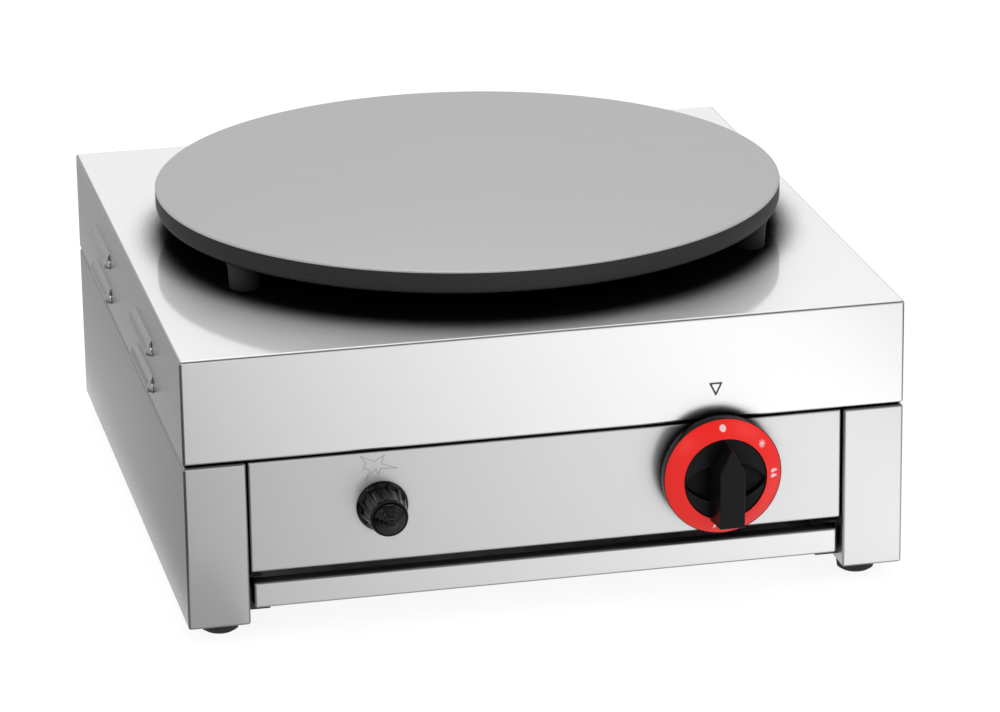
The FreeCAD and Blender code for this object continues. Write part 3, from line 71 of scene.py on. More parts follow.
Point = tuple[float, float, float]
Profile = list[tuple[float, float]]
Shape = tuple[np.ndarray, np.ndarray]
Socket = bpy.types.NodeSocket

ORIGIN = (0.0, 0.0, 0.0)
UP = (0.0, 0.0, 1.0)
FORWARD = (0.0, -1.0, 0.0)
BACKWARD = (0.0, 1.0, 0.0)
WHITE = (1.0, 1.0, 1.0, 1.0)

MASK_RANGE = (0.3, 0.7)
CLOUD_RANGE = (0.35, 0.65)
CLOUD_SCALE = 9.0
FLAT_NORMAL = 0.7
SCRATCH_LENGTHWISE = 7.0
FINE_GRAIN = 900.0
LEVEL_RANGE = (0.3, 0.9)
FOLD_RANGE = (0.90, 0.998)
GAP_SAMPLES = 20
# Near-black colour of the painted shade in gaps and of the painted dark reflection along folds
PAINTED_SHADE_COLOUR = (0.004, 0.004, 0.004)


class Body(enum.Enum):
    """The bodies that the scene's own pieces ride on."""

    CABINET = "cabinet"
    KNOB = "knob"
    IGNITER_BUTTON = "igniter_button"


class Grain(enum.Enum):
    """How the surface of a metal was left."""

    BRUSHED = "brushed"
    TURNED = "turned"
    SPANGLED = "spangled"
    CAST = "cast"


class Along(enum.Enum):
    """The way along which a card's brightness runs."""

    X = "X"
    Y = "Y"


# Surfaces worked out with numpy


def grid_faces(rows: int, columns: int) -> np.ndarray:
    """Quads between the neighbours of a grid whose columns close on themselves.

    Args:
        rows: number of rings.
        columns: points in each ring.

    Returns:
        One row of four vertex numbers for each quad.
    """
    row, column = np.meshgrid(np.arange(rows - 1), np.arange(columns), indexing="ij")
    after = (column + 1) % columns
    quads = np.stack([row * columns + column, row * columns + after,
                      (row + 1) * columns + after, (row + 1) * columns + column], axis=-1)
    return quads.reshape(-1, 4)


def rounded_profile(corners: Profile, radius: float, steps: int = 5) -> np.ndarray:
    """A polyline with each inner corner replaced by a tangent arc.

    The arc is a circle blend: its points are the corner moved along both runs by the cosine and sine of an
    even sweep, which is exact for a right angle and close for the rest.

    Args:
        corners: (radius, height) points.
        radius: size of the arcs, cut down where a run is short.
        steps: points on each arc.

    Returns:
        The (radius, height) points of the rounded line.
    """
    line = np.asarray(corners, float)
    runs = np.linalg.norm(np.diff(line, axis=0), axis=1)
    ways = np.diff(line, axis=0) / runs[:, None]
    reach = np.minimum(radius, LARGEST_BLEND * np.minimum(runs[:-1], runs[1:]))[:, None, None]
    sweep = np.linspace(0.0, math.pi / 2, steps)[None, :, None]
    arcs = (line[1:-1, None] - ways[:-1, None] * reach * (1 - np.sin(sweep))
            + ways[1:, None] * reach * (1 - np.cos(sweep)))
    return np.vstack([line[:1], arcs.reshape(-1, 2), line[-1:]])


def turned_points(profile: np.ndarray, segments: int, base: Point, axis: Point) -> np.ndarray:
    """Points of a turned surface: each profile point carried round the axis.

    A point is base + axis * height + radius * (cos of the angle along one side + sin along the other).

    Args:
        profile: (radius, height) points.
        segments: points in one turn.
        base: point on the axis at height zero.
        axis: direction of the axis.

    Returns:
        An array of rings, of shape (profile points, segments, 3).
    """
    way = np.asarray(Vector(axis).normalized())
    side = np.asarray(Vector(axis).orthogonal().normalized())
    other = np.cross(way, side)
    angle = np.linspace(0.0, FULL_TURN, segments, endpoint=False)
    round_way = np.cos(angle)[:, None] * side + np.sin(angle)[:, None] * other
    return (np.asarray(base) + profile[:, 1][:, None, None] * way
            + profile[:, 0][:, None, None] * round_way)


def ring_mesh(points: np.ndarray) -> Shape:
    """Vertices and quads of a stack of rings.

    Args:
        points: rings, of shape (rings, points in a ring, 3).

    Returns:
        The vertices and the faces.
    """
    return points.reshape(-1, 3), grid_faces(points.shape[0], points.shape[1])


def joined(parts: list[Shape]) -> Shape:
    """Several vertex and face sets as one.

    Args:
        parts: the (vertices, faces) pairs.

    Returns:
        All vertices, and all faces renumbered.
    """
    offsets = np.cumsum([0] + [len(vertices) for vertices, _ in parts[:-1]])
    return (np.vstack([vertices for vertices, _ in parts]),
            np.vstack([faces + offset for (_, faces), offset in zip(parts, offsets)]))


def turned(line: Profile, blend: tuple[float, int], segments: int, base: Point, axis: Point) -> Shape:
    """A turned shape whose profile has rounded corners.

    Args:
        line: (radius, height) corners of the profile.
        blend: radius of the rounding, and the points on each arc.
        segments: points in one turn.
        base: point on the axis at height zero.
        axis: direction of the axis.

    Returns:
        Vertices and faces.
    """
    return ring_mesh(turned_points(rounded_profile(line, *blend), segments, base, axis))


def placed(name: str, data: bpy.types.ID) -> bpy.types.Object:
    """A new object in the scene.

    Args:
        name: its name.
        data: the mesh, lamp or camera that it holds.

    Returns:
        The object.
    """
    thing = bpy.data.objects.new(name, data)
    bpy.context.scene.collection.objects.link(thing)
    return thing


@dataclass(frozen=True)
class Piece:
    """A finished mesh piece: what it is called, what it rides on and what it is made of."""

    name: str
    body: Body
    slot: str
    smooth_angle: float = 32.0

    def make(self, shape: Shape, finishes: list[bpy.types.Material],
             replaces: tuple[str, ...] = ()) -> bpy.types.Object:
        """Put vertices and faces into an object that rides on its body.

        Args:
            shape: vertices and faces.
            finishes: the materials, the first of which covers every face.
            replaces: CAD nodes that the piece stands for.

        Returns:
            The new object.
        """
        vertices, faces = shape
        mesh = bpy.data.meshes.new(self.name)
        mesh.from_pydata(vertices.tolist(), [], faces.tolist())
        work = bmesh.new()
        work.from_mesh(mesh)
        bmesh.ops.remove_doubles(work, verts=work.verts, dist=WELD)
        bmesh.ops.dissolve_degenerate(work, edges=work.edges, dist=THIN_EDGE)
        bmesh.ops.recalc_face_normals(work, faces=work.faces)
        work.to_mesh(mesh)
        work.free()
        for material in finishes:
            mesh.materials.append(material)
        mesh.shade_smooth()
        mesh.set_sharp_from_angle(angle=math.radians(self.smooth_angle))
        piece = placed(self.name, mesh)
        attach(piece, self.body.value)
        if replaces:
            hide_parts(*replaces)
        LOG.info("%s: %d faces on %s", self.name, len(mesh.polygons), self.body.value)
        return piece


# Shader parts


class Sheet:
    """A node tree that is being filled, with short ways to add and join nodes."""

    def __init__(self, tree: bpy.types.NodeTree) -> None:
        """Keep the tree."""
        self.tree = tree

    def add(self, kind: str, **inputs: object) -> bpy.types.Node:
        """Add a node and fill its inputs.

        Args:
            kind: the node's type name without "ShaderNode".
            inputs: a value, or a socket to link, for each input. Underscores stand for spaces.

        Returns:
            The node.
        """
        node = self.tree.nodes.new("ShaderNode" + kind)
        for name, value in inputs.items():
            self.feed(node, name.replace("_", " "), value)
        return node

    def feed(self, node: bpy.types.Node, name: str | int, value: object) -> None:
        """Set or link one input.

        Args:
            node: the node.
            name: the input's name or number.
            value: a plain value or an output socket.
        """
        if isinstance(value, Socket):
            self.tree.links.new(value, node.inputs[name])
        else:
            node.inputs[name].default_value = value

    def math(self, operation: str, first: object, second: object = 0.0) -> Socket:
        """The result of one arithmetic step.

        Args:
            operation: Blender's name of the step.
            first: first value or socket.
            second: second value or socket.

        Returns:
            The result's socket.
        """
        node = self.tree.nodes.new("ShaderNodeMath")
        node.operation = operation
        for index, value in enumerate((first, second)):
            self.feed(node, index, value)
        return node.outputs[0]

    def remap(self, value: object, old: tuple[float, float], to_low: float, to_high: float) -> Socket:
        """A value moved from one range to another and kept inside it.

        Args:
            value: what is moved.
            old: start and end of the old range.
            to_low: start of the new range.
            to_high: end of the new range.

        Returns:
            The moved value's socket.
        """
        node = self.add("MapRange", Value=value)
        for index, limit in enumerate((*old, to_low, to_high), start=1):
            node.inputs[index].default_value = limit
        return node.outputs["Result"]

    def mix_colour(self, factor: object, first: object, second: object) -> Socket:
        """A blend of two colours.

        Args:
            factor: how much of the second.
            first: colour or socket.
            second: colour or socket.

        Returns:
            The blend's socket.
        """
        node = self.tree.nodes.new("ShaderNodeMix")
        node.data_type = "RGBA"
        self.feed(node, 0, factor)
        self.feed(node, 6, first)
        self.feed(node, 7, second)
        return node.outputs[2]

    def mix_shader(self, factor: object, first: Socket,
                   second: Socket) -> Socket:
        """A blend of two shaders.

        Args:
            factor: how much of the second.
            first: shader socket.
            second: shader socket.

        Returns:
            The blend's socket.
        """
        node = self.tree.nodes.new("ShaderNodeMixShader")
        for index, value in enumerate((factor, first, second)):
            self.feed(node, index, value)
        return node.outputs[0]

    def facing(self) -> bpy.types.Node:
        """The surface normal, split into X, Y and Z."""
        return self.add("SeparateXYZ", Vector=self.add("NewGeometry").outputs["Normal"])

    def painted_shade_shader(self) -> Socket:
        """A flat near-black shader: painted shade for the depth of gaps, and a painted dark reflection along
        folds.

        Returns:
            The shader's socket.
        """
        dark = self.add("BsdfDiffuse")
        dark.inputs["Color"].default_value = colour4(PAINTED_SHADE_COLOUR)
        return dark.outputs[0]

    def show(self, surface: Socket) -> None:
        """Make a shader the material's surface."""
        self.feed(self.tree.nodes["Material Output"], "Surface", surface)

    def noise(self, vector: Socket, scale: float, detail: float = 2.0) -> Socket:
        """Cloud noise at a scale, as a value near one half.

        Args:
            vector: where it is read.
            scale: clouds for each unit.
            detail: finer layers on top.

        Returns:
            The noise value's socket.
        """
        node = self.add("TexNoise", Vector=vector, Scale=scale, Detail=detail)
        return node.outputs["Fac"]

    def vector(self, x: object, y: object, z: object) -> Socket:
        """Three values as one vector."""
        return self.add("CombineXYZ", X=x, Y=y, Z=z).outputs[0]


def colour4(rgb: tuple[float, float, float]) -> tuple[float, float, float, float]:
    """A colour with full alpha."""
    return (*rgb, 1.0)


def blank_material(name: str) -> tuple[bpy.types.Material, Sheet]:
    """A new material with nodes.

    Args:
        name: its name.

    Returns:
        The material, and its node tree to fill.
    """
    material = bpy.data.materials.new(name)
    material.use_nodes = True
    return material, Sheet(material.node_tree)


class GrainGroups:
    """Node groups that several finishes share. Each is built once, on its first use."""

    def __init__(self) -> None:
        """Start with no group."""
        self.made: dict[str, bpy.types.NodeTree] = {}

    def group(self, grain: Grain) -> bpy.types.NodeTree:
        """The group for a grain, with Mask and Normal outputs.

        Args:
            grain: which grain.

        Returns:
            The node group.
        """
        if grain.value not in self.made:
            tree = bpy.data.node_groups.new("grain_" + grain.value, "ShaderNodeTree")
            for name in ("Fineness", "Depth"):
                tree.interface.new_socket(name, in_out="INPUT", socket_type="NodeSocketFloat")
            tree.interface.new_socket("Mask", in_out="OUTPUT", socket_type="NodeSocketFloat")
            tree.interface.new_socket("Cloud", in_out="OUTPUT", socket_type="NodeSocketFloat")
            tree.interface.new_socket("Normal", in_out="OUTPUT", socket_type="NodeSocketVector")
            self.fill(Sheet(tree), grain)
            self.made[grain.value] = tree
        return self.made[grain.value]

    def fill(self, sheet: Sheet, grain: Grain) -> None:
        """Fill a group: a height made for the grain, its bump, and soft clouds for smudges.

        Args:
            sheet: the group's tree.
            grain: which grain.
        """
        given = sheet.tree.nodes.new("NodeGroupInput")
        place = sheet.add("TexCoord").outputs["Object"]
        fineness = given.outputs["Fineness"]
        height = {
            Grain.BRUSHED: self.brushed_height,
            Grain.TURNED: self.turned_height,
            Grain.SPANGLED: self.spangled_height,
            Grain.CAST: self.cast_height,
        }[grain](sheet, place, fineness)
        bump = sheet.add("Bump", Strength=1.0, Height=height, Distance=given.outputs["Depth"])
        result = sheet.tree.nodes.new("NodeGroupOutput")
        sheet.feed(result, "Mask", height)
        sheet.feed(result, "Cloud", sheet.noise(place, CLOUD_SCALE, 3.0))
        sheet.feed(result, "Normal", bump.outputs["Normal"])

    def brushed_height(self, sheet: Sheet, place: Socket,
                       fineness: Socket) -> Socket:
        """Long scratches: level on upright faces, and along X on flat ones.

        Args:
            sheet: the tree.
            place: object coordinates.
            fineness: scratches for each metre across them.

        Returns:
            The height's socket.
        """
        split = sheet.add("SeparateXYZ", Vector=place)
        level = sheet.math("GREATER_THAN", sheet.math("ABSOLUTE", sheet.facing().outputs["Z"]), FLAT_NORMAL)
        upright = sheet.math("SUBTRACT", 1.0, level)
        slow_y = sheet.math("MULTIPLY", split.outputs["Y"],
                            sheet.math("MULTIPLY", upright, SCRATCH_LENGTHWISE))
        quick_y = sheet.math("MULTIPLY", sheet.math("MULTIPLY", split.outputs["Y"], level), fineness)
        along = sheet.vector(sheet.math("MULTIPLY", split.outputs["X"], SCRATCH_LENGTHWISE),
                             sheet.math("ADD", slow_y, quick_y),
                             sheet.math("MULTIPLY", split.outputs["Z"], fineness))
        return sheet.noise(along, 1.0)

    def turned_height(self, sheet: Sheet, place: Socket,
                      fineness: Socket) -> Socket:
        """Rings round the middle of the part, a little uneven.

        Args:
            sheet: the tree.
            place: object coordinates.
            fineness: rings for each metre.

        Returns:
            The height's socket.
        """
        split = sheet.add("SeparateXYZ", Vector=place)
        flat = sheet.vector(split.outputs["X"], split.outputs["Y"], 0.0)
        length = sheet.tree.nodes.new("ShaderNodeVectorMath")
        length.operation = "LENGTH"
        sheet.feed(length, 0, flat)
        ring = sheet.vector(sheet.math("MULTIPLY", length.outputs["Value"], fineness), 0.0, 0.0)
        grains = sheet.noise(place, FINE_GRAIN)
        return sheet.math("ADD", sheet.math("MULTIPLY", sheet.noise(ring, 1.0), 0.5),
                          sheet.math("MULTIPLY", grains, 0.5))

    def spangled_height(self, sheet: Sheet, place: Socket,
                        fineness: Socket) -> Socket:
        """Zinc crystals: flat cells, each with its own level."""
        cells = sheet.add("TexVoronoi", Vector=place, Scale=fineness)
        return sheet.add("SeparateColor", Color=cells.outputs["Color"]).outputs[0]

    def cast_height(self, sheet: Sheet, place: Socket,
                    fineness: Socket) -> Socket:
        """Small pits and pebbles, as sand or a mould's texture leaves them."""
        node = sheet.add("TexNoise", Vector=place, Scale=fineness, Detail=4.0, Roughness=0.6)
        return node.outputs["Fac"]


GRAINS = GrainGroups()


@dataclass(frozen=True)
class Finish:
    """One surface finish. The grain varies its colour and roughness and gives its bump."""

    name: str
    colour: tuple[float, float, float]
    roughness: float
    metallic: float = 0.0
    fineness: float = 1500.0
    depth: float = 0.00002
    tint: float = 0.10
    rough_spread: float = 0.06
    smudge: float = 0.04
    grain: Grain = Grain.CAST
    coat: float = 0.0
    coat_roughness: float = 0.1
    specular: float = 0.5
    mirror: float = 0.0
    mirror_roughness: float = 0.12
    top_mirror: float = 0.0
    top_roughness: float = 0.09
    painted_shade_reach: float = 0.0
    gap_full: float = 0.12
    gap_open: float = 0.62
    painted_fold_dark: float = 0.0

    def make(self) -> bpy.types.Material:
        """Build the material: the grain's mask and clouds darken and roughen the base a little.

        A share of sharper reflection lies over the soft one. Gaps get painted shade and folds a painted dark
        reflection, from a near-black shader mixed in.

        Returns:
            The material.
        """
        material, sheet = blank_material(self.name)
        shader = material.node_tree.nodes["Principled BSDF"]
        group = sheet.tree.nodes.new("ShaderNodeGroup")
        group.node_tree = GRAINS.group(self.grain)
        group.inputs["Fineness"].default_value = self.fineness
        group.inputs["Depth"].default_value = self.depth
        mask, cloud = group.outputs["Mask"], group.outputs["Cloud"]
        dark = colour4(tuple(c * (1.0 - self.tint) for c in self.colour))
        light = colour4(tuple(min(1.0, c * (1.0 + self.tint)) for c in self.colour))
        colour = sheet.mix_colour(sheet.remap(mask, MASK_RANGE, 0.0, 1.0), dark, light)
        sheet.feed(shader, "Base Color", colour)
        spread = sheet.remap(mask, MASK_RANGE, self.roughness - self.rough_spread,
                             self.roughness + self.rough_spread)
        clouds = sheet.remap(cloud, CLOUD_RANGE, -self.smudge, self.smudge)
        sheet.feed(shader, "Roughness", sheet.math("ADD", spread, clouds))
        sheet.feed(shader, "Normal", group.outputs["Normal"])
        shader.inputs["Metallic"].default_value = self.metallic
        shader.inputs["Coat Weight"].default_value = self.coat
        shader.inputs["Coat Roughness"].default_value = self.coat_roughness
        shader.inputs["Specular IOR Level"].default_value = self.specular
        surface = shader.outputs[0]
        if self.mirror > 0.0:
            surface = self.glossed(sheet, surface, colour, group.outputs["Normal"])
        # Painted shade: a near-black shader mixed in where gaps are narrow, and as a painted dark reflection
        # along folds
        if self.painted_shade_reach > 0.0:
            surface = sheet.mix_shader(self.shade(sheet), surface, sheet.painted_shade_shader())
        sheet.show(surface)
        return material

    def glossed(self, sheet: Sheet, surface: Socket, colour: Socket, normal: Socket) -> Socket:
        """The surface with a share of sharper reflection over it, which may differ on faces that look up.

        Args:
            sheet: the material's tree.
            surface: the soft shader.
            colour: the metal's colour.
            normal: the bumped normal.

        Returns:
            The mixed shader's socket.
        """
        gloss = sheet.add("BsdfAnisotropic", Color=colour, Normal=normal)
        gloss.inputs["Roughness"].default_value = self.mirror_roughness
        share = self.mirror
        if self.top_mirror > 0.0:
            level = sheet.math("ABSOLUTE", sheet.facing().outputs["Z"])
            share = sheet.remap(level, LEVEL_RANGE, self.mirror, self.top_mirror)
            blur = sheet.remap(level, LEVEL_RANGE, self.mirror_roughness, self.top_roughness)
            sheet.feed(gloss, "Roughness", blur)
        return sheet.mix_shader(share, surface, gloss.outputs[0])

    def shade(self, sheet: Sheet) -> Socket:
        """How much painted shade the surface gets: in narrow gaps by what stands near it, and as a painted
        dark reflection along folds by its slant.

        Args:
            sheet: the material's tree.

        Returns:
            The painted darkness, from 0 to 1.
        """
        near = sheet.tree.nodes.new("ShaderNodeAmbientOcclusion")
        near.samples = GAP_SAMPLES
        near.inputs["Distance"].default_value = self.painted_shade_reach
        gap = sheet.remap(near.outputs["AO"], (self.gap_full, self.gap_open), 1.0, 0.0)
        normal = sheet.facing()
        sides = [sheet.math("ABSOLUTE", normal.outputs[name]) for name in ("X", "Y", "Z")]
        straight = sheet.math("MAXIMUM", sheet.math("MAXIMUM", sides[0], sides[1]), sides[2])
        fold = sheet.remap(straight, FOLD_RANGE, self.painted_fold_dark, 0.0)
        return sheet.math("MAXIMUM", gap, fold)


def steel(name: str, level: float, mirror: float, reach: float, gap: tuple[float, float],
          top_mirror: float = 0.0) -> Finish:
    """A finely brushed stainless finish, with painted shade in its gaps and a painted dark reflection along
    its folds.

    Args:
        name: material name.
        level: how bright the metal is.
        mirror: share of its reflection that is sharper.
        reach: how wide the gaps are that get painted shade, in metres.
        gap: how open a place is where the painted shade is full, and where there is none.
        top_mirror: share of a sharp reflection on faces that look up, or none for the same all over.

    Returns:
        The finish.
    """
    return Finish(name, (level, level * 1.005, level), 0.50, metallic=1.0, grain=Grain.BRUSHED,
                  fineness=2200.0, depth=0.0000015, tint=0.01, rough_spread=0.03, smudge=0.02, mirror=mirror,
                  mirror_roughness=0.24, top_mirror=top_mirror, painted_shade_reach=reach, gap_full=gap[0],
                  gap_open=gap[1], painted_fold_dark=0.58)


# Finishes with a shade reach get painted shade in their narrow gaps and hollows; the steels also get a
# painted dark reflection along their folds.
FINISHES = {
    "hood_steel": steel("hood_steel", 0.81, 0.84, 0.050, (0.54, 0.79), 0.42),
    "panel_steel": steel("panel_steel", 0.665, 0.50, 0.030, (0.50, 0.74)),
    "side_steel": steel("side_steel", 0.665, 0.60, 0.016, (0.12, 0.62)),
    "tray_steel": steel("tray_steel", 0.735, 0.60, 0.030, (0.12, 0.85)),
    "galvanised": Finish("galvanised_sheet", (0.56, 0.58, 0.60), 0.42, 1.0, 90.0, 0.0, 0.10, 0.08,
                         grain=Grain.SPANGLED),
    "zinc": Finish("zinc_plate", (0.62, 0.63, 0.66), 0.34, 1.0, 900.0, 0.00001, 0.08, 0.06),
    "plate_top": Finish("plate_satin_top", (0.41, 0.413, 0.411), 0.46, 1.0, 700.0, 0.000006, 0.03, 0.03, 0.02,
                        Grain.TURNED),
    "plate_cast": Finish("plate_coated_casting", (0.034, 0.034, 0.034), 0.46, 0.0, 1300.0, 0.00010, 0.25,
                         0.08, specular=0.08, painted_shade_reach=0.03),
    "burner_iron": Finish("burner_cast_iron", (0.060, 0.055, 0.052), 0.62, 0.3, 700.0, 0.00020, 0.35, 0.10),
    "brass": Finish("turned_brass", (0.72, 0.53, 0.24), 0.30, 1.0, 1200.0, 0.00001, 0.08, 0.06),
    "pipe": Finish("drawn_pipe", (0.55, 0.53, 0.50), 0.36, 1.0, 500.0, 0.00002, 0.10, 0.08),
    "spindle": Finish("turned_steel", (0.60, 0.60, 0.62), 0.28, 1.0, 1500.0, 0.00001, 0.06, 0.05),
    "knob_black": Finish("knob_moulded_black", (0.0045, 0.0045, 0.0050), 0.26, 0.0, 1800.0, 0.000004, 0.15,
                         0.04, 0.03, specular=0.13, painted_shade_reach=0.016, gap_open=0.95),
    "dial_red": Finish("dial_printed_red", (0.93, 0.014, 0.009), 0.34, 0.0, 1500.0, 0.000008, 0.03, 0.03,
                       0.02, specular=0.3),
    "dial_white": Finish("dial_white_ink", (0.92, 0.60, 0.64), 0.40, 0.0, 1500.0, 0.000005, 0.03, 0.03),
    "gloss_black": Finish("igniter_gloss_black", (0.003, 0.003, 0.0035), 0.10, 0.0, 1500.0, 0.000001, 0.10,
                          0.03, 0.02, specular=0.22, painted_shade_reach=0.006, gap_open=0.85),
    "nylon": Finish("black_nylon", (0.020, 0.020, 0.021), 0.48, 0.0, 1200.0, 0.00002, 0.15, 0.06),
    "black_coat": Finish("black_coated_steel", (0.016, 0.016, 0.017), 0.40, 0.0, 1200.0, 0.00001, 0.12, 0.05),
    "rubber": Finish("foot_rubber", (0.022, 0.022, 0.022), 0.72, 0.0, 1400.0, 0.00004, 0.20, 0.06),
    "ceramic": Finish("glazed_ceramic", (0.82, 0.80, 0.75), 0.22, 0.0, 500.0, 0.00002, 0.04, 0.04, coat=0.4),
    "copper": Finish("copper_tube", (0.62, 0.34, 0.22), 0.32, 1.0, 700.0, 0.00001, 0.12, 0.08),
    "silicone": Finish("silicone_lead", (0.36, 0.05, 0.035), 0.52, 0.0, 1000.0, 0.00001, 0.08, 0.05),
    "marker_ink": Finish("marker_dark_ink", (0.055, 0.055, 0.058), 0.45, 0.0, 1500.0, 0.000004, 0.08, 0.04),
    "etched": Finish("etched_steel", (0.42, 0.42, 0.42), 0.55, 1.0, 1500.0, 0.00002, 0.08, 0.05),
}


class FinishShelf:
    """Gives each finish as a material, built once."""

    def __init__(self) -> None:
        """Start empty."""
        self.made: dict[str, bpy.types.Material] = {}

    def get(self, name: str) -> bpy.types.Material:
        """The material of a finish.

        Args:
            name: the finish's short name.

        Returns:
            The material.
        """
        if name not in self.made:
            self.made[name] = FINISHES[name].make()
        return self.made[name]


@dataclass(frozen=True)
class CadDress:
    """Which finish each CAD node that stays in view gets."""

    finish: str
    nodes: tuple[str, ...]

    def put_on(self, nodes: dict[str, bpy.types.Object], shelf: FinishShelf) -> None:
        """Put the finish into the nodes' material slots.

        Args:
            nodes: the CAD objects by name.
            shelf: the finishes.
        """
        for name in self.nodes:
            for slot in nodes[name].material_slots:
                slot.material = shelf.get(self.finish)
            LOG.info("%s wears %s", name, self.finish)


CAD_DRESS = (
    CadDress("hood_steel", ("hood",)),
    CadDress("side_steel", ("side_panel_left", "side_panel_right", "rear_panel")),
    CadDress("panel_steel", ("control_panel",)),
    CadDress("tray_steel", ("tray_front", "tray_pan")),
    CadDress("black_coat", ("tray_runner_left", "tray_runner_right")),
    CadDress("galvanised", ("burner_rail_front", "burner_rail_rear", "air_shutter", "injector_bracket",
                            "sensor_bracket", "heat_shield")),
    CadDress("nylon", ("tray_glide_left", "tray_glide_right", "panel_spacers", "hood_spacers")),
    CadDress("zinc", ("runner_rivets", "hood_screws", "hood_nuts", "panel_screws", "foot_screws",
                      "plate_bolts", "plate_washers", "burner_screws", "tap_screws")),
    CadDress("rubber", ("feet",)),
    CadDress("burner_iron", ("burner", "mixing_tube")),
    CadDress("brass", ("injector", "injector_holder", "inlet_locknut", "pipe_nuts", "gas_tap_body",
                       "tap_magnet_unit")),
    CadDress("pipe", ("gas_inlet_pipe", "burner_feed_pipe")),
    CadDress("spindle", ("tap_push_rod", "tap_spindle", "knob_clip", "electrode_rod")),
    CadDress("gloss_black", ("igniter_body",)),
    CadDress("ceramic", ("ignition_electrode",)),
    CadDress("copper", ("thermocouple",)),
    CadDress("silicone", ("ignition_lead",)),
)


# Sub-assemblies


@dataclass(frozen=True)
class CrepePlate:
    """Round cast plate: satin machined top, narrow bright bevel, coated edge, recess and three legs."""

    radius: float = 0.2000
    low: float = 0.1978
    top: float = 0.2128
    bevel: float = 0.0010
    rim_curve: float = 0.0040
    heated_radius: float = 0.1600
    recess: float = 0.0020
    leg_radius: float = 0.0098
    leg_circle: float = 0.1865
    leg_foot: float = 0.1808
    leg_angles: tuple[float, ...] = (-150.0, -30.0, 90.0)
    leg_segments: int = 56
    segments: int = 240
    edge_blend: tuple[float, int] = (0.0016, 5)
    leg_blend: tuple[float, int] = (0.0008, 4)

    def top_shape(self) -> Shape:
        """The machined top with its bevel: a turned profile from the middle to just over the edge."""
        line = [(0.0, self.top), (self.radius - self.bevel, self.top), (self.radius, self.top - self.bevel)]
        return turned(line, (self.bevel * 0.25, 4), self.segments, ORIGIN, UP)

    def edge_shape(self) -> Shape:
        """The coated casting below the bevel: edge, curved rim, underside and heated recess.

        Returns:
            Vertices and faces.
        """
        line = [(self.radius, self.top - self.bevel), (self.radius, self.low + self.rim_curve),
                (self.radius - self.rim_curve * 0.28, self.low + self.rim_curve * 0.28),
                (self.radius - self.rim_curve, self.low), (self.heated_radius, self.low),
                (self.heated_radius - self.recess, self.low + self.recess), (0.0, self.low + self.recess)]
        return turned(line, self.edge_blend, self.segments, ORIGIN, UP)

    def leg_shape(self, angle: float) -> Shape:
        """One cast leg: a short post with a broken lower edge that flares into the plate.

        Args:
            angle: its place round the plate in degrees.

        Returns:
            Vertices and faces.
        """
        height = self.low - self.leg_foot
        line = [(0.0, 0.0), (self.leg_radius - 0.0004, 0.0), (self.leg_radius, 0.0005),
                (self.leg_radius + 0.0005, height * 0.70), (self.leg_radius + 0.0011, height * 0.90),
                (self.leg_radius + 0.0020, height + 0.0004), (0.0, height + 0.0004)]
        turn = math.radians(angle)
        base = (self.leg_circle * math.cos(turn), self.leg_circle * math.sin(turn), self.leg_foot)
        return turned(line, self.leg_blend, self.leg_segments, base, UP)

    def build(self, shelf: FinishShelf) -> None:
        """Make the top and the casting, which together stand for the CAD plate.

        Args:
            shelf: the finishes.
        """
        legs = [self.leg_shape(angle) for angle in self.leg_angles]
        casting = joined([self.edge_shape()] + legs)
        Piece("plate_casting", Body.CABINET, "cast_plate").make(casting, [shelf.get("plate_cast")],
                                                                ("cooking_plate",))
        Piece("plate_top_face", Body.CABINET, "cast_plate", 20.0).make(self.top_shape(),
                                                                       [shelf.get("plate_top")])


